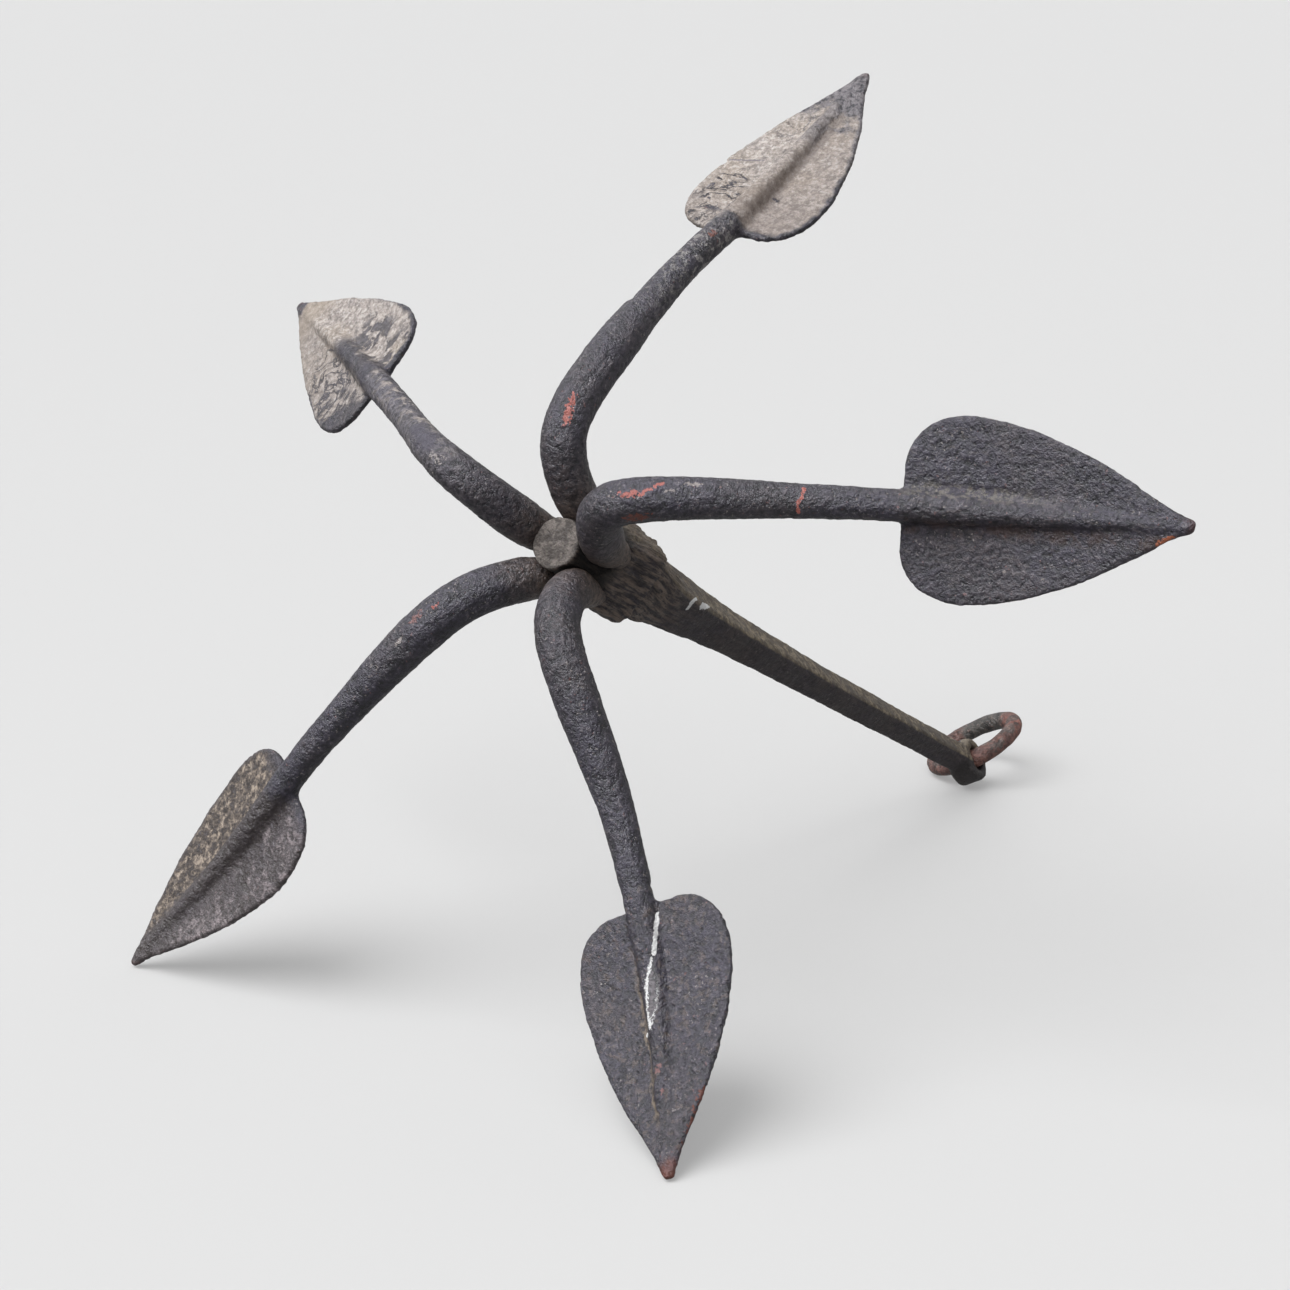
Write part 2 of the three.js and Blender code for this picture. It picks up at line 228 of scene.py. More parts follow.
def join_shells(shells):
    vertices, faces, base = [], [], 0
    for v, f in shells:
        vertices.append(np.asarray(v, float))
        faces += [tuple(i + base for i in face) for face in f]
        base += len(v)
    return np.concatenate(vertices), faces


def reskin(obj):
    """Applies the piece's modifiers and one skin of even quads over the result."""
    skin = obj.modifiers.new("skin", "REMESH")
    skin.mode = "VOXEL"
    skin.voxel_size = VOXEL
    apply_modifiers(obj)


def remeshed(name, shells):
    """One skin round closed shells that are given in millimetres."""
    vertices, faces = join_shells(shells)
    obj = new_object(name, vertices / 1000, faces)
    fix_normals(obj)
    reskin(obj)
    return obj


def fix_normals(obj):
    bm = bmesh.new()
    bm.from_mesh(obj.data)
    bmesh.ops.recalc_face_normals(bm, faces=bm.faces)
    bm.to_mesh(obj.data)
    bm.free()


def apply_modifiers(obj):
    graph = bpy.context.evaluated_depsgraph_get()
    mesh = bpy.data.meshes.new_from_object(obj.evaluated_get(graph))
    old = obj.data
    obj.modifiers.clear()
    obj.data = mesh
    mesh.name = obj.name
    bpy.data.meshes.remove(old)


def vertices_of(obj):
    co = np.zeros(len(obj.data.vertices) * 3)
    obj.data.vertices.foreach_get("co", co)
    return co.reshape(-1, 3)


def set_vertices(obj, points):
    obj.data.vertices.foreach_set("co", np.asarray(points, np.float32).ravel())
    obj.data.update()


def edge_pairs(obj):
    pairs = np.zeros(len(obj.data.edges) * 2, np.int64)
    obj.data.edges.foreach_get("vertices", pairs)
    return pairs.reshape(-1, 2)


def smoothed(points, pairs, rounds, weight=0.5):
    """Each point moves towards the middle of its neighbours. weight may be one number a point."""
    count = np.bincount(pairs.ravel(), minlength=len(points)).astype(float)[:, None]
    weight = np.broadcast_to(np.asarray(weight, float).reshape(-1, 1), (len(points), 1))
    for _ in range(rounds):
        total = np.stack([
            np.bincount(pairs[:, 0], points[pairs[:, 1], k], len(points))
            + np.bincount(pairs[:, 1], points[pairs[:, 0], k], len(points)) for k in range(3)], 1)
        points = points + weight * (total / count - points)
    return points


def normals_of(obj):
    obj.data.update()
    n = np.zeros(len(obj.data.vertices) * 3, np.float32)
    obj.data.vertices.foreach_get("normal", n)
    return n.reshape(-1, 3).astype(float)


def keep_in_box(points):
    return np.clip(points, *np.array(cad_box))


def finish_piece(obj, nodes, body, material):
    for polygon in obj.data.polygons:
        polygon.use_smooth = True
    obj.data.materials.clear()
    obj.data.materials.append(material)
    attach(obj, body)
    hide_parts(*nodes)


def store(obj, name, values):
    attribute = obj.data.attributes.new(name, "FLOAT_VECTOR", "POINT")
    attribute.data.foreach_set("vector", np.asarray(values, np.float32).ravel())


# ---- arms ----


class Curve:
    """Centripetal curve through points, measured by its length from the first."""

    def __init__(self, points, fine=40):
        p = np.asarray(points, float)
        last = len(p) - 1
        out = []
        for i in range(last):
            a = p[i - 1] if i else 2 * p[0] - p[1]
            b, c = p[i], p[i + 1]
            d = p[i + 2] if i + 2 <= last else 2 * p[last] - p[last - 1]
            ab, bc, cd = (np.linalg.norm(y - x) ** 0.5 for x, y in ((a, b), (b, c), (c, d)))
            out_b = ((b - a) / ab - (c - a) / (ab + bc) + (c - b) / bc) * bc
            in_c = ((c - b) / bc - (d - b) / (bc + cd) + (d - c) / cd) * bc
            t = np.linspace(0, 1, fine, endpoint=i == last - 1)[:, None]
            out.append(b + out_b * t + (3 * (c - b) - 2 * out_b - in_c) * t * t
                       + (2 * (b - c) + out_b + in_c) * t ** 3)
        self.line = np.concatenate(out)
        self.reach = np.concatenate([[0], np.cumsum(np.linalg.norm(np.diff(self.line, axis=0), axis=1))])
        self.length = self.reach[-1]

    def at(self, distance):
        distance = np.clip(np.atleast_1d(distance), 0, self.length)
        return np.stack([np.interp(distance, self.reach, self.line[:, k]) for k in range(3)], 1)

    def along(self, distance, step=4.0):
        distance = np.clip(np.atleast_1d(distance), 0, self.length)
        way = self.at(distance + step) - self.at(distance - step)
        return way / np.linalg.norm(way, axis=1)[:, None]


def arm_curve(arm):
    """The bar's line from its root to the palm's tip, as if the arm lay along x."""
    reach = arm["reach"]
    return Curve([
        (BUNDLE_RADIUS - 19, 0, -ROOT_DEPTH), (BUNDLE_RADIUS - 12, 0, -75),
        (BUNDLE_RADIUS - 3.5, 0, -45), (BUNDLE_RADIUS, -arm["lean"], -20),
        (BUNDLE_RADIUS + 0.09 * reach, -0.45 * arm["sway"], arm["proud"]),
        (0.45 * reach, -arm["sway"], -arm["middle"]),
        (0.72 * reach, -0.75 * arm["sway"], -arm["shoulder"]),
        (reach, 0, -arm["tip"]),
    ])


def arm_frame(arm, curve, distance):
    """Middle of the bar, its direction, and the palm's side and back directions there."""
    centre = curve.at(distance)
    along = curve.along(distance)
    side = np.array([0, -1.0, 0]) + along * along[:, 1:2]
    side /= np.linalg.norm(side, axis=1)[:, None]
    angle = math.radians(arm["twist"])
    side = side * math.cos(angle) + np.cross(along, side) * math.sin(angle)
    return centre, along, side, np.cross(along, side)


def bar_radius(arm, distance):
    """The root swells into the full bar, which thins to its neck."""
    root = np.interp(distance, *ROOT_PROFILE)
    return root + (NECK_RADIUS - root) * smoothstep(distance, *arm["thin"])


def tube(arm, curve, distance, width, height, sides=26, shift=0.0, aside=0.0):
    """Round skin about the arm's line; shift moves it towards the palm's back, aside across it."""
    centre, _, side, up = arm_frame(arm, curve, distance)
    turn = np.linspace(0, 2 * math.pi, sides, endpoint=False)
    rings = []
    for i in range(len(centre)):
        middle = centre[i] + up[i] * np.broadcast_to(shift, len(centre))[i]
        middle = middle + side[i] * np.broadcast_to(aside, len(centre))[i]
        across = np.outer(np.cos(turn) * width[i], side[i])
        rings.append(middle + across + np.outer(np.sin(turn) * height[i], up[i]))
    return rings_to_mesh(rings)


def bar_shell(arm, curve, join):
    """The round bar from its root to the weld, with that weld's step or narrowing."""
    distance = np.linspace(0, join + 3, 110)
    size = bar_radius(arm, distance)
    aside = 0.0
    if arm["step"] > 3:
        narrow = 1.5 * smoothstep(distance, join - 75, join + 3)
        size = size - narrow
        aside = -narrow
    elif arm["step"] > 2:
        size = size - arm["step"] * smoothstep(distance, join - 110, join + 3)
    lump = 0.12 * np.sin(distance / 31 + arm["turn"]) + 0.08 * np.sin(distance / 13.3 + 2 * arm["turn"])
    return tube(arm, curve, distance, size + lump, size - 0.6 * lump, aside=aside)


def rib_shells(arm, curve, join):
    """The stem and rib as one round skin, and a flatter, wider swell that eases it into the plate."""
    length, leaf = curve.length, PALM_LENGTH * arm["length"]
    distance = np.concatenate([np.linspace(join - 12, length - NOSE_RADIUS, 120),
                               length - NOSE_RADIUS * np.array([0.7, 0.45, 0.2, 0.05])])
    from_tip = length - distance
    swell = float(bar_radius(arm, join)) - arm["step"] - NECK_RADIUS
    swollen = swell * (1 - smoothstep(distance, join, join + 90))
    round_off = np.sqrt(np.clip(1 - np.clip(1 - from_tip / NOSE_RADIUS, 0, 1) ** 2, 0.01, 1))
    width = np.interp(from_tip, [0, 90, 190, leaf], [4, 9, 12.5, NECK_RADIUS]) + swollen
    height = np.interp(from_tip, [0, 90, 190, leaf], [4.2, 9.0, 12.6, NECK_RADIUS]) + swollen
    rib = tube(arm, curve, distance, width * round_off, height * round_off)
    distance = np.linspace(length - leaf * 0.97, length - 16, 70)
    from_tip = length - distance
    wide = np.interp(from_tip, [16, 90, 190, leaf], [6, 14, 20, 25])
    shift = PALM_BACK_SET * from_tip / PALM_LENGTH
    high = np.interp(from_tip, [16, 90, 190, leaf], [4, 6, 7.5, 8])
    fillet = tube(arm, curve, distance, wide, high, shift=shift)
    return [rib, fillet]


def leaf_half(arm, rows):
    """Half width of the palm at distances from its tip."""
    knots, sizes = np.array(PALM_LEAF).T
    leaf = PALM_LENGTH * arm["length"]
    along, half = knots * leaf, sizes * PALM_HALF_WIDTH * arm["width"]
    walked = np.concatenate([[0], np.cumsum(np.hypot(np.diff(along), np.diff(half)))])
    even = np.linspace(0, walked[-1], 400)
    line = np.stack([np.interp(even, walked, along), np.interp(even, walked, half)], 1)
    for _ in range(160):
        line[1:-1] = 0.5 * line[1:-1] + 0.25 * (line[:-2] + line[2:])
    return np.interp(rows, line[:, 0], line[:, 1])


def plate_shell(arm, curve, index):
    """The leaf as rows across it, from the tip back, with a slightly thinner rim and a hand-cut edge."""
    leaf = PALM_LENGTH * arm["length"]
    rows = np.unique(np.concatenate([np.linspace(0, 0.998, 150), np.linspace(0.93, 0.998, 40)])) * leaf
    across = np.concatenate([np.linspace(-1, -0.9, 6), np.linspace(-0.85, 0.85, 30), np.linspace(0.9, 1, 6)])
    half = leaf_half(arm, rows)
    centre, _, side, up = arm_frame(arm, curve, curve.length - rows)
    shift = PALM_BACK_SET * rows / PALM_LENGTH
    rings = []
    for i, u in enumerate(rows):
        left = half[i] + 0.3 * math.sin(u / 11.3 + index) + 0.2 * math.sin(u / 4.9 + 2 * index)
        right = half[i] + 0.3 * math.sin(u / 9.1 + 3 * index) + 0.2 * math.sin(u / 5.7 + index)
        if index == 0:
            left -= 4.5 * math.exp(-((u - 168) / 2.6) ** 2)
        x = np.where(across < 0, across * left, across * right)
        thick = 0.5 * PALM_THICKNESS * (0.8 + 0.2 * np.sqrt(np.clip(1 - np.abs(across) ** 8, 0, 1)))
        dish = 1.2 * np.sin(u / 41 + index) * np.abs(across) ** 2
        top = centre[i] + np.outer(x, side[i]) + np.outer(thick + shift[i] + dish, up[i])
        bottom = centre[i] + np.outer(x, side[i]) + np.outer(-thick + shift[i] + dish, up[i])
        rings.append(np.concatenate([top, bottom[::-1]]))
    return rings_to_mesh(rings)


def place_on_arm(arm, curve, points):
    """Distance from the tip, across the palm and behind the bar's middle, for points in the arm's frame."""
    line = np.linspace(0, curve.length, 500)
    centre, along, side, up = arm_frame(arm, curve, line)
    nearest = np.empty(len(points), int)
    for start in range(0, len(points), 4000):
        block = points[start:start + 4000]
        gap = ((block[:, None] - centre[None]) ** 2).sum(2)
        nearest[start:start + 4000] = gap.argmin(1)
    off = points - centre[nearest]
    ahead = (off * along[nearest]).sum(1)
    from_tip = curve.length - line[nearest] - ahead
    return np.stack([from_tip, (off * side[nearest]).sum(1), (off * up[nearest]).sum(1)], 1)


def arm_angle(index):
    """The arm's direction round the crown's axis."""
    return math.radians(ARM_ONE_TURN - 72 * index + ARMS[index]["turn"])


def turned_z(points, angle):
    x, y, z = points.T
    c, s = math.cos(angle), math.sin(angle)
    return np.stack([x * c - y * s, x * s + y * c, z], 1)


def arm_roughness(points, seeds):
    """Hammered lumps and scattered pits, as a height out of the surface."""
    coarse, middle, fine, pitted = seeds
    rough = 0.12 * waves(points, 26, coarse) + 0.10 * waves(points, 9, middle)
    rough += 0.11 * waves(points, 5, fine, 40)
    return rough - 0.6 * pit_depth(points, pitted) - 0.1


def make_arm(index):
    """One arm with its palm. It stores where each point lies on them, for the material."""
    arm = ARMS[index]
    curve = arm_curve(arm)
    leaf = PALM_LENGTH * arm["length"]
    join = curve.length - leaf - arm["stem"]
    shells = [bar_shell(arm, curve, join), *rib_shells(arm, curve, join), plate_shell(arm, curve, index)]
    obj = remeshed(f"arm_and_palm_{index + 1}", shells)
    points = vertices_of(obj) * 1000
    place = place_on_arm(arm, curve, points)
    pairs = edge_pairs(obj)
    on_leaf = smoothstep(place[:, 0], leaf + 22, leaf - 4)
    inner = 1 - smoothstep(np.abs(place[:, 1]), 30, 42)
    points = smoothed(points, pairs, 4, 0.5)
    points = smoothed(points, pairs, 6, 0.5 * on_leaf * inner)
    points = smoothed(points, pairs, 8, 0.5 * (1 - on_leaf))
    set_vertices(obj, points / 1000)
    normal = normals_of(obj)
    rough = arm_roughness(points, [seed + index for seed in ARM_SEEDS])
    points = points + normal * rough[:, None]
    place = place_on_arm(arm, curve, points)
    store(obj, "place", place / 1000)
    inside = np.minimum(leaf_half(arm, place[:, 0]) - np.abs(place[:, 1]), 0.99 * leaf - place[:, 0])
    store(obj, "rim", np.stack([inside, curve.length - place[:, 0], place[:, 2]], 1) / 1000)
    set_vertices(obj, keep_in_box(to_row(turned_z(points, arm_angle(index)))))
    return obj


# ---- shank and ring ----


def square_ring(size, sharp, count=40):
    """A square with rounded corners; sharp 1 is square, 0 is round."""
    turn = np.linspace(0, 2 * math.pi, count, endpoint=False)
    power = 2 + 5 * sharp
    radius = (np.abs(np.cos(turn)) ** power + np.abs(np.sin(turn)) ** power) ** (-1 / power)
    return size * radius * np.cos(turn), size * radius * np.sin(turn)


def shank_frame(depth):
    """Middle of the square section, its upper and lower flats' directions and its half size."""
    depth = np.atleast_1d(np.asarray(depth, float))
    turn = np.radians(SHANK_ROLL + CROWN_TWIST * (1 - smoothstep(depth, CROWN_DEPTH, SHANK_DEPTH)))
    zero = np.zeros(len(depth))
    off = np.interp(depth, [100, 200, 300, 500], [CROWN_SHIFT, 3.5, 2, 0])
    way = math.radians(CROWN_SHIFT_TURN)
    centre = np.stack([off * math.cos(way), off * math.sin(way), -depth], 1)
    side = np.stack([np.cos(turn), np.sin(turn), zero], 1)
    up = np.stack([np.sin(turn), -np.cos(turn), zero], 1)
    return centre, side, up, np.interp(depth, *SHANK_PROFILE)


def square_shell(depth, size, sharp):
    """Square skin about the shank's line."""
    centre, side, up, _ = shank_frame(depth)
    rings = []
    for i in range(len(centre)):
        x, y = square_ring(size[i], sharp)
        rings.append(centre[i] + np.outer(x, side[i]) + np.outer(y, up[i]))
    return rings_to_mesh(rings)


def shank_bar_shell():
    """The tapering shank from inside the crown block to the eye."""
    depth = np.concatenate([np.linspace(60, 136, 30), np.linspace(140, SHANK_LENGTH, 150)])
    size = shank_frame(depth)[3] + 0.2 * np.sin(depth / 29) + 0.12 * np.sin(depth / 11 + 1)
    return square_shell(depth, size, 1.0)


def crown_shell():
    """The block welded round the roots, with a hammered lip at its end."""
    depth = np.linspace(CROWN_PROFILE[0][0], CROWN_PROFILE[0][-1], 60)
    return square_shell(depth, np.interp(depth, *CROWN_PROFILE), 0.75)


def core_shell(count=120):
    """The round core, cut back where each bar stands against it."""
    turn = np.linspace(0, 2 * math.pi, count, endpoint=False)
    rings = []
    for depth in (0, 1.2, 6, 12, 20, 45, 70):
        radius = np.full(count, CORE_RADIUS - (1.2 if depth == 0 else 0.0))
        stand = BUNDLE_RADIUS + 4.5 * (1 - min(depth, 20) / 20)
        for index, arm in enumerate(ARMS):
            away = turn - arm_angle(index) + arm["lean"] / BUNDLE_RADIUS
            inside = (BAR_RADIUS - 0.4) ** 2 - (stand * np.sin(away)) ** 2
            near = stand * np.cos(away) - np.sqrt(np.clip(inside, 0, None))
            radius = np.where((inside > 0) & (np.cos(away) > 0), np.minimum(radius, near), radius)
        level = np.full(count, -float(depth))
        rings.append(np.stack([radius * np.cos(turn), radius * np.sin(turn), level], 1))
    return rings_to_mesh(rings)


def eye_shell(radius, thickness, rim, count=48):
    """A round along the hole's axis, with its rims rounded off."""
    half = thickness / 2
    profile = [(radius - rim, -half), (radius - 0.3 * rim, -half + 0.3 * rim), (radius, -half + rim),
               (radius, half - rim), (radius - 0.3 * rim, half - 0.3 * rim), (radius - rim, half)]
    turn = math.radians(EYE_TURN)
    hole = np.array([math.cos(turn), math.sin(turn), 0])
    across = np.array([-math.sin(turn), math.cos(turn), 0])
    angle = np.linspace(0, 2 * math.pi, count, endpoint=False)
    rings = [np.array([0, 0, -SHANK_LENGTH]) + hole * h + np.outer(r * np.cos(angle), across)
             + np.outer(r * np.sin(angle), [0, 0, 1.0]) for r, h in profile]
    return rings_to_mesh(rings)


def make_shank():
    """The shank with its crown and eye. It stores where each point lies on them, for the material."""
    shells = [shank_bar_shell(), crown_shell(), core_shell(), eye_shell(EYE_RADIUS, EYE_THICKNESS, 4)]
    obj = remeshed("shank_and_crown", shells)
    vertices, faces = eye_shell(EYE_HOLE_RADIUS, 90, 0.5)
    cutter = new_object("cutter", vertices / 1000, faces)
    fix_normals(cutter)
    cut = obj.modifiers.new("hole", "BOOLEAN")
    cut.operation = "DIFFERENCE"
    cut.object = cutter
    cut.solver = "EXACT"
    reskin(obj)
    bpy.data.objects.remove(cutter)
    points = vertices_of(obj) * 1000
    points = smoothed(points, edge_pairs(obj), 2, 0.5)
    set_vertices(obj, points / 1000)
    normal = normals_of(obj)
    near_crown = 1 - smoothstep(-points[:, 2], 125, 230)
    coarse, middle, drawn, pitted = SHANK_SEEDS
    rough = 0.15 * waves(points, 24, coarse) + 0.14 * waves(points, 8, middle)
    furrows = waves(points * np.array([2.6, 2.6, 0.6]), 15, drawn)
    rough += 0.75 * near_crown * furrows * smoothstep(-points[:, 2], 30, 50)
    rough -= 0.5 * pit_depth(points, pitted) + 0.1
    points = points + normal * rough[:, None]
    centre, side, up, size = shank_frame(-points[:, 2])
    size = np.where(-points[:, 2] < LIP_DEPTH + 3, 43.0, size)
    x = ((points - centre) * side).sum(1)
    y = ((points - centre) * up).sum(1)
    store(obj, "place", np.stack([-points[:, 2], x, y], 1) / 1000)
    store(obj, "rim", np.stack([x / size, y / size, np.hypot(points[:, 0], points[:, 1]) / 50], 1))
    set_vertices(obj, keep_in_box(to_row(points)))
    return obj


def make_ring():
    """The ring's wire passes through the hole along its axis; the ring reaches down to the ground."""
    low, high = (np.array(c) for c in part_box("ring"))
    eye = np.array(hinge["pos_m"])
    middle = (low + high) / 2
    reach = middle - eye
    reach -= HOLE * (reach @ HOLE)
    reach /= np.linalg.norm(reach)
    across = np.cross(reach, HOLE)
    long, short = 150, 36
    vertices = []
    for t in np.linspace(0, 2 * math.pi, long, endpoint=False):
        out = -reach * math.cos(t) + HOLE * math.sin(t)
        wire = RING_WIRE_RADIUS - 0.35 + 0.25 * math.sin(3 * t + 1) + 0.15 * math.sin(7 * t)
        for s in np.linspace(0, 2 * math.pi, short, endpoint=False):
            vertices.append(eye + (reach * RING_RADIUS + out * (RING_RADIUS + wire * math.cos(s))
                                   + across * wire * math.sin(s)) / 1000)
    faces = [(i * short + j, i * short + (j + 1) % short, ((i + 1) % long) * short + (j + 1) % short,
              ((i + 1) % long) * short + j) for i in range(long) for j in range(short)]
    obj = new_object("rope_ring", np.array(vertices), faces)
    fix_normals(obj)
    points = vertices_of(obj)
    normal = normals_of(obj)
    coarse, fine = RING_SEEDS
    lump = 0.16 * waves(points * 1000, 12, coarse) + 0.07 * waves(points * 1000, 5, fine) - 0.05
    points = points + normal * lump[:, None] / 1000
    off = points - eye
    store(obj, "place", np.stack([off @ reach, off @ HOLE, off @ across], 1))
    set_vertices(obj, keep_in_box(points))
    return obj


# ---- materials ----


class Field:
    """A node's output. Each operator adds a math node to its material; | takes the larger of two."""

    def __init__(self, nodes, socket):
        self.nodes = nodes
        self.socket = socket

    def __add__(self, other):
        return self.nodes.math("ADD", self, other)

    def __sub__(self, other):
        return self.nodes.math("SUBTRACT", self, other)

    def __rsub__(self, other):
        return self.nodes.math("SUBTRACT", other, self)

    def __mul__(self, other):
        return self.nodes.math("MULTIPLY", self, other)

    def __or__(self, other):
        return self.nodes.math("MAXIMUM", self, other)

    def __abs__(self):
        return self.nodes.math("ABSOLUTE", self)

    __radd__ = __add__
    __rmul__ = __mul__


class Nodes:
    """Short names for the node kinds that the iron uses."""

    def __init__(self, name):
        self.material = bpy.data.materials.new(name)
        self.material.use_nodes = True
        self.tree = self.material.node_tree
        self.tree.nodes.clear()
        self.shader = self.add("ShaderNodeBsdfPrincipled")
        self.add("ShaderNodeOutputMaterial", Surface=self.shader.outputs[0])
        self.object = self.add("ShaderNodeTexCoord").outputs["Object"]
        self.place, (self.u, self.v, self.w) = self.stored("place")
        _, (self.inside, self.root, _) = self.stored("rim")

    def add(self, kind, **inputs):
        node = self.tree.nodes.new(kind)
        for name, value in inputs.items():
            self.put(value, node.inputs[name])
        return node

    def put(self, value, socket):
        if isinstance(value, Field):
            value = value.socket
        if isinstance(value, bpy.types.NodeSocket):
            self.tree.links.new(value, socket)
        elif value is not None:
            socket.default_value = value

    def stored(self, name):
        """A vector stored on the mesh, and its three parts."""
        node = self.add("ShaderNodeAttribute")
        node.attribute_name = name
        whole = node.outputs["Vector"]
        parts = self.add("ShaderNodeSeparateXYZ", Vector=whole).outputs
        return whole, [Field(self, part) for part in parts]

    def noise(self, scale, detail=4.0, rough=0.55, warp=0.0, at=None):
        """Noise at the object's own points, or at another vector."""
        node = self.add("ShaderNodeTexNoise", Vector=at or self.object, Scale=scale, Detail=detail,
                        Roughness=rough, Distortion=warp)
        return Field(self, node.outputs["Fac"])

    def cells(self, scale):
        node = self.add("ShaderNodeTexVoronoi", Vector=self.object, Scale=scale)
        return Field(self, node.outputs["Distance"])

    def math(self, kind, a, b=None, clamp=False):
        node = self.add("ShaderNodeMath")
        node.operation = kind
        node.use_clamp = clamp
        self.put(a, node.inputs[0])
        self.put(b, node.inputs[1])
        return Field(self, node.outputs[0])

    def step(self, value, low, high, to_low=0.0, to_high=1.0):
        """A smooth ramp from to_low at low to to_high at high; it falls if low is above high."""
        node = self.add("ShaderNodeMapRange")
        node.interpolation_type = "SMOOTHSTEP"
        for i, end in enumerate((value, low, high, to_low, to_high)):
            self.put(end, node.inputs[i])
        return Field(self, node.outputs[0])

    def mix(self, part, a, b):
        node = self.add("ShaderNodeMix")
        node.data_type = "RGBA"
        self.put(part, node.inputs[0])
        for value, socket in ((a, node.inputs[6]), (b, node.inputs[7])):
            self.put((*value, 1.0) if isinstance(value, tuple) else value, socket)
        return Field(self, node.outputs[2])

    def vector(self, kind, a, b=None, scale=None):
        node = self.add("ShaderNodeVectorMath")
        node.operation = kind
        self.put(a, node.inputs[0])
        self.put(b, node.inputs[1])
        if scale is not None:
            self.put(scale, node.inputs["Scale"])
        return Field(self, node.outputs["Value" if kind in ("DOT_PRODUCT", "LENGTH") else "Vector"])

    def finish(self, colour, rough, specular):
        self.put(colour, self.shader.inputs["Base Color"])
        self.put(rough, self.shader.inputs["Roughness"])
        self.put(specular, self.shader.inputs["Specular IOR Level"])
        return self.material

    def stretched(self, x, y, z):
        """The place on the piece, scaled by its own factor each way."""
        return self.vector("MULTIPLY", self.place, (x, y, z))

    def mark(self, start, end, radius, ragged):
        """A ragged mark within a radius of the line from start to end, all in millimetres. A radius
        below zero makes its ends pointed.
        """
        start, end = Vector(start) / 1000, Vector(end) / 1000
        way = end - start
        off = self.vector("SUBTRACT", self.place, tuple(start))
        ahead = self.vector("DOT_PRODUCT", off, tuple(way))
        part = self.math("DIVIDE", ahead, way.length_squared, clamp=True)
        on_line = self.vector("SCALE", tuple(way), scale=part)
        far = self.vector("LENGTH", self.vector("SUBTRACT", off, on_line))
        far = far + (self.noise(260.0, 3.0, 0.65) - 0.5) * (abs(radius) * ragged * 0.005)
        if radius < 0:
            ends = abs(part * 2.0 - 1.0)
            far = far + self.math("POWER", ends, 2.0) * (-radius * 0.001)
        return self.step(far, abs(radius) * 0.00112, abs(radius) * 0.00088)


# Colours of the bare iron.
PORE = (0.006, 0.0055, 0.007)
DEEP = (0.0125, 0.0115, 0.0165)
SLATE = (0.046, 0.040, 0.062)
BROWN = (0.070, 0.053, 0.044)
HAZE = (0.155, 0.138, 0.152)
FLECK = (0.30, 0.265, 0.255)
PINK = (0.20, 0.095, 0.09)

# Dry crust and dust on the palms and their bars, and colours of painted shade and sheen on them.
CRUST = (0.44, 0.385, 0.350)
CRUST_SHADE = (0.20, 0.172, 0.158)
CRUST_LIGHT = (0.66, 0.62, 0.59)
CRUST_DARK = (0.13, 0.108, 0.098)
CRUST_PIT = (0.085, 0.072, 0.067)
# Darker brown of the painted shade on the first palm's right half.
HALF_SHADE_BROWN = (0.130, 0.094, 0.076)
# Painted shade in the hollow beside the first palm's rib.
VALLEY_SHADE = (0.090, 0.066, 0.055)
TAN = (0.30, 0.24, 0.175)
TAN_SHADE = (0.115, 0.090, 0.073)
TAN_LIGHT = (0.40, 0.325, 0.255)
GREY_SHADE = (0.06, 0.05, 0.052)
GREY_LIGHT = (0.32, 0.27, 0.28)
TIP_GREY = (0.215, 0.195, 0.205)
STEM_DUST = (0.30, 0.28, 0.27)
# Lighter blue of the painted sheen along the fifth arm's bar.
BAR_SHEEN = (0.19, 0.175, 0.20)
BAR_DUST = (0.38, 0.33, 0.30)
CORNER_DUST = (0.20, 0.155, 0.105)
RIB_DUST = (0.20, 0.18, 0.15)
SPECK_BROWN = (0.135, 0.105, 0.092)
STREAK_GREY = (0.12, 0.10, 0.10)
ROOT_BROWN = (0.150, 0.108, 0.084)
ROOT_SHADE = (0.052, 0.038, 0.033)

# Rust and paint; the dark rust also paints shade under the second palm's rib.
RUST = (0.15, 0.040, 0.024)
DARK_RUST_AND_SHADE = (0.062, 0.030, 0.020)
ORANGE = (0.42, 0.12, 0.05)
CORAL = (0.42, 0.12, 0.095)
WHITE = (0.80, 0.80, 0.80)

# Grime on the shank and the crown, and colours of painted highlights and shade on them.
OLIVE = (0.100, 0.078, 0.051)
OLIVE_LIGHT = (0.29, 0.235, 0.160)
OLIVE_SHADE = (0.052, 0.043, 0.034)
UMBER = (0.036, 0.0275, 0.0255)
# Tan of the painted highlight along the shank's ridge.
RIDGE_HIGHLIGHT = (0.30, 0.25, 0.185)
# Tan of the painted highlight on the crown block's lip.
LIP_HIGHLIGHT = (0.27, 0.22, 0.16)
WORN_SHANK = (0.110, 0.083, 0.074)
WORN_CROWN = (0.250, 0.192, 0.155)
DISC_SHADE = (0.115, 0.098, 0.088)
DISC_LIGHT = (0.34, 0.298, 0.268)
# Near-black of the painted shade in the gaps between the arms' roots.
GAP_SHADE = (0.010, 0.009, 0.008)
# Dark of the painted shade on the eye.
EYE_SHADE = (0.016, 0.0145, 0.0135)

# The ring's wire.
RED_SHADE = (0.110, 0.038, 0.028)
RED_LIGHT = (0.30, 0.108, 0.078)
WIRE_SHADE = (0.026, 0.022, 0.020)
WIRE_GREY = (0.105, 0.096, 0.086)
WIRE_PIT = (0.020, 0.014, 0.012)
# Light colour of the painted glints on the ring's wire.
WIRE_GLINT = (0.36, 0.235, 0.20)


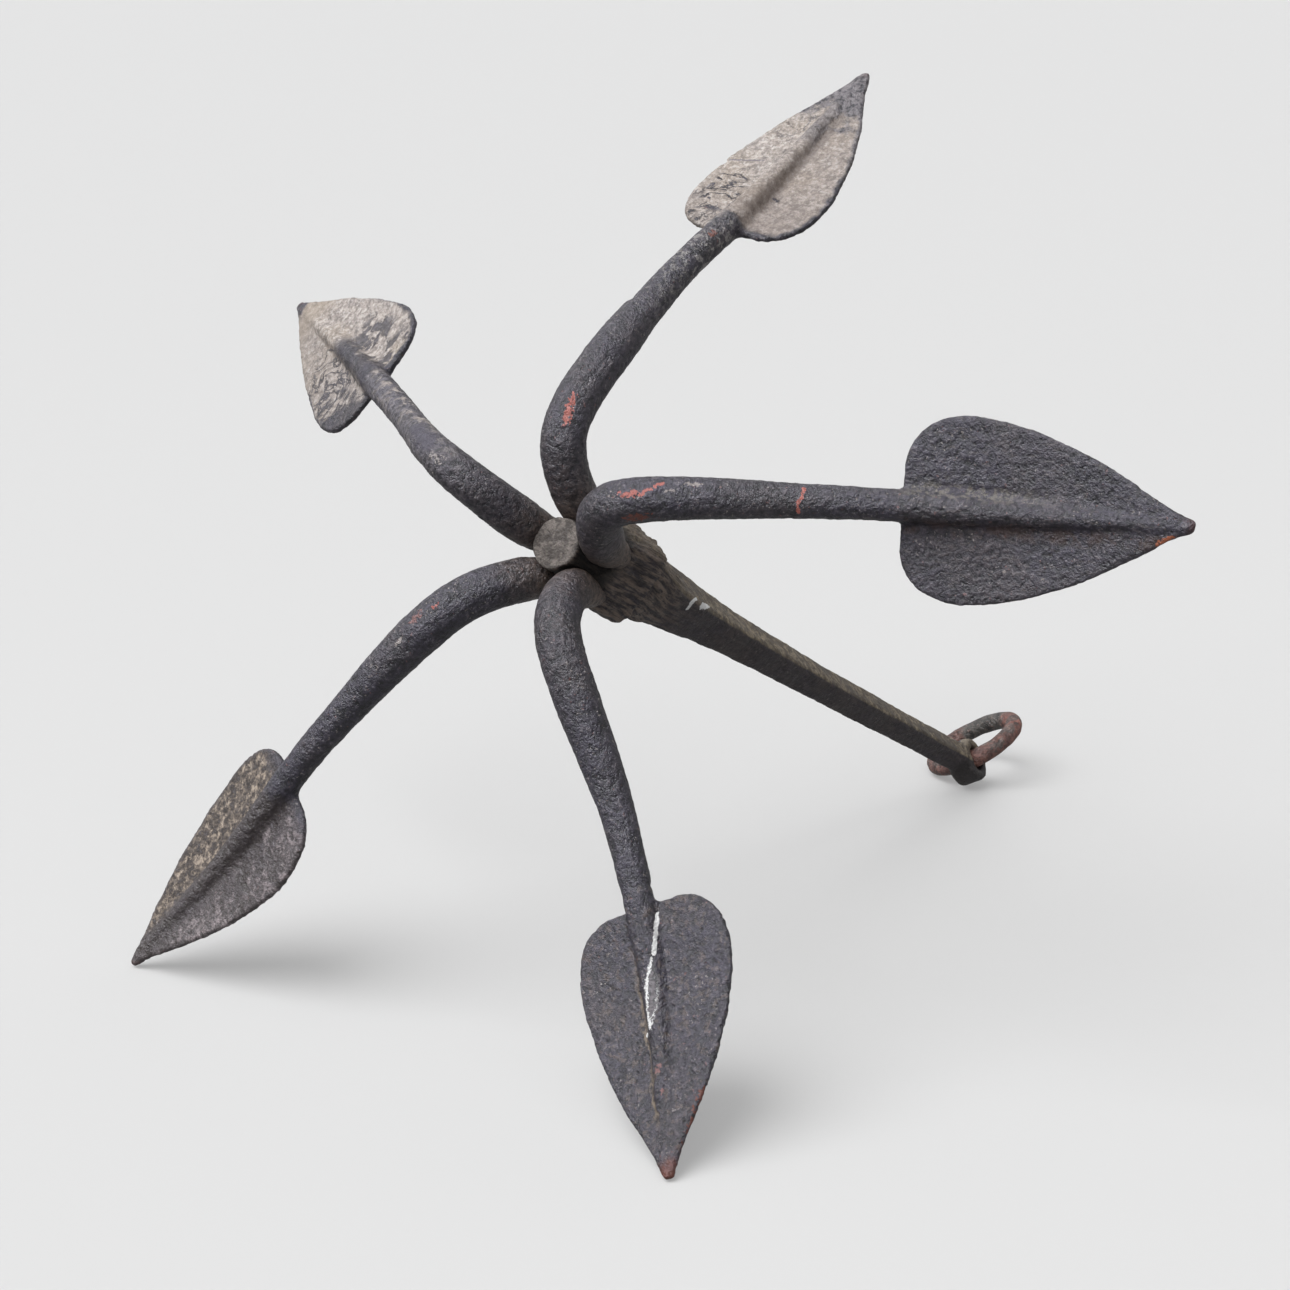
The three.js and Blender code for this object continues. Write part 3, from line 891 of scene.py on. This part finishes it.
def iron_base(n, warm):
    """Blue-black scale with brown clouds, dark pores and light flecks."""
    patch = n.noise(32.0, 6.0, 0.62, 0.4)
    grain = n.noise(175.0, 4.0, 0.72)
    fine = n.noise(330.0, 2.0, 0.6)
    cloud = n.noise(8.0, 5.0, 0.6, 0.6)
    grained = n.step(grain, 0.4, 0.62) * 0.7
    shade = n.math("ADD", grained, n.step(patch, 0.36, 0.66) * 0.4, clamp=True)
    colour = n.mix(shade, DEEP, SLATE)
    colour = n.mix(n.step(cloud, 0.42, 0.66) * n.step(grain, 0.38, 0.6) * warm, colour, BROWN)
    colour = n.mix(n.step(grain, 0.43, 0.34) * 0.8, colour, PORE)
    haze = n.step(grain, 0.56, 0.66) * n.step(n.noise(60.0, 4.0, 0.6), 0.4, 0.6) * 0.75
    colour = n.mix(haze, colour, HAZE)
    flecks = n.step(fine, 0.62, 0.7) * n.step(n.noise(38.0, 3.0), 0.42, 0.6) * 0.8
    colour = n.mix(flecks, colour, FLECK)
    pink = n.step(n.noise(210.0, 2.0, 0.6), 0.68, 0.74) * 0.6
    return n.mix(pink, colour, PINK), patch, grain


def iron_relief(n, patch, grain, extra=0.0, calm=0.0):
    """Bump of grain and small pits, lower where a mask calms it."""
    pits = n.step(n.cells(170.0), 0.05, 0.32)
    height = grain * 1.6 + n.noise(95.0, 4.0, 0.6) * 1.2 + pits * 0.3 + patch
    height = height * (1.0 - calm * 0.45) + extra
    bump = n.add("ShaderNodeBump", Height=height, Distance=RELIEF, Strength=1.0)
    n.put(bump.outputs[0], n.shader.inputs["Normal"])


def lines(n, scale, width, patch_scale, low, high):
    """Dark winding lines, in patches, where the crust lifts off."""
    flakes = n.noise(scale, 5.0, 0.6, 1.3)
    line = n.step(abs(flakes - 0.5), width, width * 0.4)
    return line * n.step(n.noise(patch_scale, 3.0), low, high)


def crust_colour(n, grain):
    """Dry beige-grey crust, lighter on its grain and dark in its pits."""
    tone = n.mix(n.step(n.noise(120.0, 6.0, 0.7), 0.38, 0.62), CRUST_SHADE, CRUST)
    tone = n.mix(n.step(n.noise(9.0, 3.0), 0.44, 0.62) * 0.5, tone, TAN)
    tone = n.mix(n.step(grain, 0.52, 0.64) * 0.5, tone, CRUST_LIGHT)
    fine = n.noise(340.0, 3.0, 0.7)
    tone = n.mix(n.step(fine, 0.55, 0.66) * 0.5, tone, CRUST_LIGHT)
    tone = n.mix(n.step(fine, 0.45, 0.36) * 0.5, tone, CRUST_DARK)
    return n.mix(n.step(grain, 0.46, 0.36) * 0.45, tone, CRUST_PIT)


def first_palm(n, colour, grain):
    """Pale crust on most of the leaf, dark at the tip, crest, edge and in winding lines; painted shade on
    the right half and by the rib.
    """
    rag = n.noise(38.0, 6.0, 0.65) - 0.5
    left = n.step(n.v, 0.006, -0.012)
    tip = n.step(n.u + rag * 0.22, 0.055, 0.085)
    edge = n.step(n.inside + rag * 0.02, 0.0, 0.006) | left
    crest = n.step(abs(n.v - 0.002) + rag * 0.02, 0.005, 0.01)
    crest = crest | n.math("ADD", n.step(n.u, 0.1, 0.15), 0.35, clamp=True)
    stem = n.step(n.u + rag * 0.35, 0.285, 0.262)
    near_stem = n.step(abs(n.u - 0.212), 0.045, 0.025)
    veins = near_stem * n.step(n.v, -0.004, -0.01) * n.step(n.inside, 0.01, 0.016)
    veins = veins * lines(n, 21.0, 0.027, 16.0, 0.36, 0.44)
    veins = veins | lines(n, 30.0, 0.016, 14.0, 0.5, 0.56) * left * 0.7
    mask = tip * edge * crest * stem * (1.0 - veins)
    # Painted shade: the right half of the palm is darker brown. The palm also turns a little browner towards
    # the stem.
    brown = (1.0 - left) * 0.3 + n.step(n.u, 0.15, 0.24) * 0.2
    tone = n.mix(brown, crust_colour(n, grain), HALF_SHADE_BROWN)
    # Painted shade: a darker brown band in the hollow beside the rib.
    valley = n.step(abs(n.v - 0.0125), 0.008, 0.003) * n.step(n.u, 0.04, 0.08) * n.step(n.u, 0.27, 0.2)
    tone = n.mix(valley * 0.6, tone, VALLEY_SHADE)
    outer = n.step(n.u, 0.16, 0.09) * n.step(grain, 0.36, 0.58) * 0.8
    colour = n.mix(outer, colour, TIP_GREY)
    colour = n.mix(mask * 0.95, colour, tone)
    dust = n.step(n.u, 0.255, 0.275) * n.step(n.u, 0.47, 0.3)
    dust = dust * n.step(n.noise(150.0, 6.0, 0.72), 0.5, 0.6)
    return n.mix(dust * 0.75, colour, STEM_DUST), mask


def fifth_palm(n, colour, grain):
    """Pale crust broken by dark patches and contour lines, with painted shade on its left half and a painted
    sheen along the bar.
    """
    rag = n.noise(42.0, 6.0, 0.65) - 0.5
    left = n.step(n.v, 0.004, -0.01)
    tip = n.step(n.u + rag * 0.08, 0.012, 0.03)
    end = n.step(n.u + rag * 0.3, 0.238, 0.205) | (1.0 - n.step(n.v, -0.022, -0.036))
    edge = n.step(n.inside + rag * 0.02, 0.001, 0.006) | n.step(n.u, 0.15, 0.125)
    crest = n.step(abs(n.v) + rag * 0.03, 0.008, 0.014) | n.step(n.u, 0.165, 0.13)
    stem = n.step(n.u + rag * 0.3, 0.285, 0.255)
    patches = n.step(n.noise(44.0, 6.0, 0.65, 0.5), 0.51, 0.54)
    patches = patches * n.step(n.u, 0.13, 0.165) * n.step(n.v, 0.068, 0.05)
    patches = patches * (1.0 - left) * 0.85
    veins = lines(n, 30.0, 0.03, 12.0, 0.38, 0.46) * n.step(n.u, 0.095, 0.13) * left * 0.9
    mask = tip * end * edge * crest * stem * (1.0 - (patches | veins))
    tone = n.mix(n.step(n.u, 0.085, 0.04) * 0.6, crust_colour(n, grain), TAN)
    # Painted shade: the crust on the left half is darker.
    tone = n.mix(left * 0.3, tone, CRUST_SHADE)
    colour = n.mix(mask * 0.95, colour, tone)
    dust = n.step(n.u, 0.265, 0.285) * n.step(n.u, 0.62, 0.42)
    dust = dust * n.step(n.noise(70.0, 7.0, 0.7, 0.6), 0.5, 0.6)
    side = 0.5 + n.step(n.v, 0.002, 0.012)
    # Painted sheen: lighter bluish grain along the middle of the bar.
    haze = n.step(n.u, 0.265, 0.29) * n.step(n.u, 0.66, 0.48) * n.step(grain, 0.42, 0.6) * 0.5
    colour = n.mix(haze, colour, BAR_SHEEN)
    return n.mix(dust * side * 0.65, colour, BAR_DUST), mask


def fourth_palm(n, colour, grain):
    """Tan crust on one half in fine patches, grey on the outer part of the other."""
    on_palm = n.step(n.u + n.noise(30.0, 4.0) * 0.03, 0.285, 0.262)
    half = n.step(n.v, 0.008, 0.016)
    thin = n.step(n.noise(130.0, 6.0, 0.75, 0.3), 0.38, 0.56)
    inner = n.step(n.inside, 0.002, 0.008)
    first = on_palm * half * thin * inner * 0.9
    second = on_palm * (1.0 - half) * 0.75 * n.step(abs(n.v), 0.012, 0.02)
    second = second * n.step(n.noise(24.0, 6.0, 0.7, 0.4), 0.46, 0.58)
    colour = n.mix(on_palm * 0.5, colour, BROWN)
    raised = n.step(grain, 0.42, 0.6)
    colour = n.mix(first, colour, n.mix(raised, TAN_SHADE, TAN_LIGHT))
    return n.mix(second, colour, n.mix(raised, GREY_SHADE, GREY_LIGHT)), first


def third_palm(n, colour, grain):
    """Dark, with tan dust in the corner along one side of the rib."""
    rag = (n.noise(45.0, 5.0, 0.65) - 0.5) * 0.026
    off_line = abs(n.v - n.u * 0.085 + rag - 0.001)
    dust = n.step(off_line, 0.0042, 0.0012) * n.step(n.w, 0.003, 0.0)
    dust = dust * n.step(n.u, 0.262, 0.235) * n.step(n.u, 0.04, 0.07)
    colour = n.mix(dust * n.step(grain, 0.4, 0.56) * 0.75, colour, CORNER_DUST)
    on_palm = n.step(n.u, 0.3, 0.26)
    speck = on_palm * n.step(n.noise(150.0, 4.0, 0.7), 0.53, 0.62) * 0.55
    return n.mix(speck, colour, SPECK_BROWN), dust


def second_palm(n, colour, grain):
    """Dark, with fine streaks along the leaf, dust above the rib, and rust with painted shade below it."""
    streak = n.noise(1.0, 6.0, 0.65, 0.0, n.stretched(70.0, 260.0, 260.0))
    on_palm = n.step(n.u, 0.33, 0.27)
    colour = n.mix(on_palm * n.step(streak, 0.55, 0.62) * 0.35, colour, STREAK_GREY)
    above = n.step(abs(n.v + 0.0155), 0.01, 0.003) * n.step(n.u, 0.1, 0.2) * n.step(n.u, 0.285, 0.25)
    dust = above * n.step(n.noise(150.0, 4.0, 0.7), 0.46, 0.6) * 0.6
    colour = n.mix(dust, colour, RIB_DUST)
    # Partly rust, partly painted shade: a dark band below the rib.
    below = n.step(abs(n.v - 0.017), 0.01, 0.003) * n.step(n.noise(50.0, 5.0, 0.7), 0.44, 0.58)
    return n.mix(below * on_palm * 0.5, colour, DARK_RUST_AND_SHADE), above


PALMS = [first_palm, second_palm, third_palm, fourth_palm, fifth_palm]

# How strong the rust is on each arm's tip, and between which distances from it the rust fades, in metres.
TIP_RUST = (0.25, 0.35, 0.85, 0.75, 0.5)
TIP_REACH = ((0.04, 0.022), (0.04, 0.022), (0.05, 0.026), (0.04, 0.022), (0.04, 0.022))

# Marks on each arm: colour, radius and raggedness, then the line's ends, in millimetres from the
# palm's tip, across and behind the bar's middle. A radius below zero gives a mark with pointed ends.
MARKS = [[
    (CORAL, 2.8, 1.6, (564, 10.4, -18), (556, 9.6, -18.6)),
    (CORAL, 2.2, 1.8, (553, 9, -19), (544, 8, -19.4)),
    (HAZE, 1.2, 0.6, (166, -71, 0), (154, -30, 0)),
    (RUST, 2.2, 1.5, (299, 7, -13), (295, 8, -13)),
], [
    (CORAL, 2.2, 1.6, (516, -7, -19), (502, -5, -19.5)),
    (CORAL, 1.5, 1.6, (503, -5, -19.5), (494, -9, -18)),
    (CORAL, 1.4, 1.6, (490, -12, -17), (485, -14, -14.6)),
    (FLECK, 1.5, 1.5, (480, -7.5, -18.4), (474, -8, -18.2)),
    (FLECK, 1.2, 1.5, (526, -6, -18.7), (522, -7, -18.7)),
    (FLECK, 1.6, 1.5, (464, -13.5, -13.6), (452, -13, -13.4)),
    (CORAL, 1.6, 0.9, (357.4, -12.3, -10.4), (359, -4, -16)),
    (CORAL, 1.9, 0.9, (359, -4, -16), (363, 3, -16)),
    (CORAL, 1.5, 0.9, (363, 3, -16), (362, 10.3, -12.6)),
    (RUST, 3.6, 1.6, (516, 16, -13), (500, 16, -13)),
    (ORANGE, 2.4, 0.9, (20, 11.5, -2), (33, 17.5, -2)),
], [
    (WHITE, 2.4, 0.4, (264, -14, 8), (246, -13.5, 0.4)),
    (WHITE, 2.4, 0.4, (246, -13.5, 0.4), (227, -11.7, -6.1)),
    (WHITE, 2.2, 0.4, (227, -11.7, -6.1), (212, -9.3, -9)),
    (WHITE, -6.6, 0.3, (209, -7, -10.5), (139, 5, -9.5)),
    (DEEP, -4.8, 0.5, (206, -8.4, -10.2), (146, 2.6, -9.8)),
    (HAZE, -3.0, 2.4, (194, -6.4, -10), (150, 1.8, -9.8)),
    (WHITE, 2.2, 0.4, (144, 10.5, -4), (141, 12, 0)),
    (PINK, 2.2, 1.6, (103, 0, -8.5), (101, 0, -8.5)),
    (PINK, 1.8, 1.6, (81, -2.5, -7.7), (79, -2.5, -7.7)),
    (RUST, 2.6, 1.5, (24, -17, 0), (75, -40.5, 0)),
], [
    (HAZE, 1.2, 0.9, (232, -18, 1.8), (223.6, -38, 1.4)),
    (CORAL, 1.5, 1.6, (521, -5, -20.2), (518, -5, -20.2)),
    (PINK, 2.6, 1.8, (503, -1, -21.4), (494, -1, -21.4)),
    (FLECK, 1.8, 1.8, (478, -7, -19.4), (470, -8, -19.2)),
], [
    (FLECK, 3.0, 1.8, (568, 0, -21), (561, -1, -21)),
    (PINK, 2.2, 1.8, (556, 3, -21), (551, 2, -21)),
    # Painted sheen: a lighter slate spot on the bar.
    (SLATE, 12, 0.7, (545, 6, -21), (505, 8, -20)),
]]


def marked(n, colour, marks):
    """The colour with its paint and rust marks on it, and the fifth arm's painted sheen spot."""
    for kind, radius, ragged, start, end in marks:
        colour = n.mix(n.mark(start, end, radius, ragged) * 0.92, colour, kind)
    return colour


def arm_material(index):
    """Iron of one arm with its own palm, its rusty tip, its brown root and its marks."""
    n = Nodes(f"scaled_iron_{index + 1}")
    colour, patch, grain = iron_base(n, warm=0.45)
    colour, crust = PALMS[index](n, colour, grain)
    rag = n.noise(60.0, 5.0, 0.65) * 0.05
    tip = n.step(n.u + rag, *TIP_REACH[index])
    colour = n.mix(tip * TIP_RUST[index], colour, RUST)
    root = n.step(n.root + rag, 0.185, 0.105)
    colour = n.mix(root * 0.85, colour, n.mix(n.step(grain, 0.38, 0.6), ROOT_SHADE, ROOT_BROWN))
    colour = marked(n, colour, MARKS[index])
    iron_relief(n, patch, grain, crust * 0.4, crust)
    rough = n.math("ADD", n.step(patch, 0.3, 0.75, 0.36, 0.54), crust * 0.3, clamp=True)
    return n.finish(colour, rough, 0.55)


# Marks on the shank, as in MARKS, with the depth from the crown face and the places across its flats.
SHANK_MARKS = [
    (WHITE, 1.9, 0.35, (197, 12, 24), (193, 20, 24)),
    (WHITE, 2.1, 0.35, (193, 20, 24), (203, 27, 19)),
    (WHITE, 1.5, 0.35, (203, 27, 19), (213, 28, 10)),
    (WHITE, 3.4, 0.4, (214, 21, 22), (231, 26, 16)),
]


def shank_material():
    """Grimy iron: olive on the upper flat, worn and furrowed at the crown, dark with painted shade in the
    gaps there and at the eye; painted highlights on the ridge and the lip.
    """
    n = Nodes("grimy_iron_shank")
    colour, patch, grain = iron_base(n, warm=0.9)
    colour = n.mix(0.5, colour, UMBER)
    rag = n.noise(70.0, 6.0, 0.7) - 0.5
    top = n.step(n.inside + rag * 0.16, 0.8, 0.92)
    tone = n.mix(n.step(n.noise(150.0, 4.0, 0.7), 0.44, 0.62), OLIVE, OLIVE_LIGHT)
    tone = n.mix(n.step(n.noise(26.0, 5.0, 0.65), 0.5, 0.6) * 0.7, tone, OLIVE_SHADE)
    colour = n.mix(top * 0.88, colour, tone)
    # Painted highlight: a tan line along the ridge between the flats.
    ridge = n.step(n.inside, 0.84, 0.96) * n.step(abs(n.root), 0.78, 0.94) * n.step(n.u, 0.12, 0.16)
    colour = n.mix(ridge * n.step(grain, 0.42, 0.56) * 0.6, colour, RIDGE_HIGHLIGHT)
    near_crown = n.step(n.u, 0.24, 0.125)
    streak = n.noise(1.0, 6.0, 0.65, 0.0, n.stretched(30.0, 260.0, 260.0))
    worn = n.step(streak, 0.4, 0.62) * n.math("ADD", near_crown, 0.22, clamp=True) * 0.85
    colour = n.mix(worn, colour, n.mix(near_crown, WORN_SHANK, WORN_CROWN))
    # Painted highlight: a tan line on the upper side of the lip.
    lip = n.step(abs(n.u - LIP_DEPTH / 1000), 0.01, 0.003) * n.step(n.inside, 0.6, 0.9)
    colour = n.mix(lip * n.step(grain, 0.42, 0.58) * 0.6, colour, LIP_HIGHLIGHT)
    face = n.step(n.u, 0.004, 0.001)
    disc = n.mix(n.step(n.noise(90.0, 6.0, 0.7), 0.4, 0.62), DISC_SHADE, DISC_LIGHT)
    colour = n.mix(face * 0.9, colour, disc)
    # Painted shade: near-black on the core in the gaps between the roots.
    gap = n.step(n.u, 0.002, 0.007) * n.step(n.u, 0.062, 0.045)
    colour = n.mix(gap * 0.85, colour, GAP_SHADE)
    # Painted shade: the eye is darkened, less so on the upper flat.
    eye = n.step(n.u, 0.815, 0.835)
    colour = n.mix(eye * (1.0 - top * 0.6) * 0.6, colour, EYE_SHADE)
    colour = marked(n, colour, SHANK_MARKS)
    iron_relief(n, patch, grain, streak * near_crown * 4.0)
    return n.finish(colour, n.step(patch, 0.3, 0.75, 0.5, 0.72), 0.5)


def ring_material():
    """Red on the lobe that lies away from the shank, pink in the eye, grey-green on the far leg, with
    painted glints.
    """
    n = Nodes("rusty_iron_ring")
    patch = n.noise(60.0, 6.0, 0.65, 0.5)
    grain = n.noise(230.0, 4.0, 0.7)
    rag = n.noise(40.0, 5.0, 0.65) - 0.5
    red = n.mix(n.step(patch, 0.38, 0.62), RED_SHADE, RED_LIGHT)
    grey = n.mix(n.step(patch, 0.4, 0.62), WIRE_SHADE, WIRE_GREY)
    away = n.v + rag * 0.05
    mask = n.step(away, 0.012, 0.032) * n.step(n.u + rag * 0.08, 0.092, 0.07)
    mask = mask * (1.0 - n.step(n.u, 0.05, 0.025) * 0.4)
    mask = mask | n.step(away, -0.012, -0.036) * 0.55
    mask = mask | n.step(n.u, 0.018, 0.004) * 0.6
    mask = mask * (1.0 - n.step(n.noise(48.0, 4.0, 0.6), 0.53, 0.58) * 0.75)
    colour = n.mix(mask, grey, red)
    colour = n.mix(n.step(grain, 0.46, 0.36) * 0.75, colour, WIRE_PIT)
    # Painted glints: light flecks on the peaks of the grain.
    colour = n.mix(n.step(grain, 0.55, 0.66) * 0.6, colour, WIRE_GLINT)
    iron_relief(n, patch, grain)
    return n.finish(colour, n.step(patch, 0.3, 0.75, 0.4, 0.6), 0.5)


# ---- pieces ----

for i in range(len(ARMS)):
    number = i + 1
    finish_piece(make_arm(i), [f"arm_{number}", f"palm_{number}"], "anchor", arm_material(i))
finish_piece(make_shank(), ["shank"], "anchor", shank_material())
finish_piece(make_ring(), ["ring"], "ring", ring_material())

# ---- floor, light and camera ----


def floor_material():
    """Matt pale grey that gives off a little light, so that shadows stay faint."""
    material = bpy.data.materials.new("pale_floor")
    material.use_nodes = True
    inputs = material.node_tree.nodes["Principled BSDF"].inputs
    inputs["Base Color"].default_value = (0.38, 0.38, 0.38, 1)
    inputs["Roughness"].default_value = 0.9
    inputs["Specular IOR Level"].default_value = 0.2
    inputs["Emission Color"].default_value = (1, 1, 1, 1)
    inputs["Emission Strength"].default_value = 0.25
    return material


def make_floor():
    """A wide disc that the camera sees, but the iron doesn't reflect."""
    turn = np.linspace(0, 2 * math.pi, FLOOR_SIDES, endpoint=False)
    level = np.full(FLOOR_SIDES, -FLOOR_DROP)
    edge = np.stack([FLOOR_RADIUS * np.cos(turn), FLOOR_RADIUS * np.sin(turn), level], 1)
    floor = new_object("floor", edge, [tuple(range(FLOOR_SIDES))])
    floor.data.materials.append(floor_material())
    floor.visible_glossy = False
    floor.visible_diffuse = False


def make_light(kind, name, position, target, power, size):
    """A sun of an angle in radians, or a round area light of a diameter in metres."""
    light = bpy.data.lights.new(name, kind)
    light.energy = power
    if kind == "SUN":
        light.angle = size
    else:
        light.shape = "DISK"
        light.size = size
    obj = bpy.data.objects.new(name, light)
    obj.location = position
    obj.rotation_euler = (Vector(target) - Vector(position)).to_track_quat("-Z", "Y").to_euler()
    bpy.context.scene.collection.objects.link(obj)
    return obj


def make_world():
    """Even light from the upper half, little from below."""
    world = bpy.data.worlds.new("studio")
    bpy.context.scene.world = world
    world.use_nodes = True
    tree = world.node_tree
    background = tree.nodes["Background"]
    background.inputs["Color"].default_value = (1, 1, 1, 1)
    split = tree.nodes.new("ShaderNodeSeparateXYZ")
    tree.links.new(tree.nodes.new("ShaderNodeTexCoord").outputs["Generated"], split.inputs[0])
    fade = tree.nodes.new("ShaderNodeMapRange")
    for name, value in (("From Min", -0.25), ("From Max", 0.15), ("To Min", 0.33), ("To Max", 0.55)):
        fade.inputs[name].default_value = value
    tree.links.new(split.outputs["Z"], fade.inputs["Value"])
    tree.links.new(fade.outputs[0], background.inputs["Strength"])


def make_camera():
    """Looks at the anchor from the crown's side, a little above it."""
    yaw, pitch = math.radians(CAMERA_YAW), math.radians(CAMERA_PITCH)
    level = math.cos(pitch)
    away = Vector((-math.sin(yaw) * level, math.cos(yaw) * level, -math.sin(pitch)))
    camera = bpy.data.cameras.new("camera")
    camera.lens = CAMERA_LENS
    camera.sensor_width = 36
    camera.clip_end = 200
    obj = bpy.data.objects.new("camera", camera)
    obj.location = CAMERA_PLACE
    obj.rotation_euler = away.to_track_quat("-Z", "Y").to_euler()
    bpy.context.scene.collection.objects.link(obj)
    bpy.context.scene.camera = obj


make_floor()
make_world()
make_light("SUN", "key", (-1.1, -2.2, 3.6), (0, 0, 0), 2.95, math.radians(55))
make_light("AREA", "near", (0.6, -1.6, 3.6), (0.2, -0.6, 0), 14, 3.0)
sheen = make_light("SUN", "sheen", (-1.6, -1.8, 3.8), (0, 0, 0), 4.6, math.radians(38))
sheen.data.color = (0.90, 0.92, 1.0)
sheen.visible_diffuse = False
make_camera()
bpy.context.scene.view_settings.view_transform = "Standard"
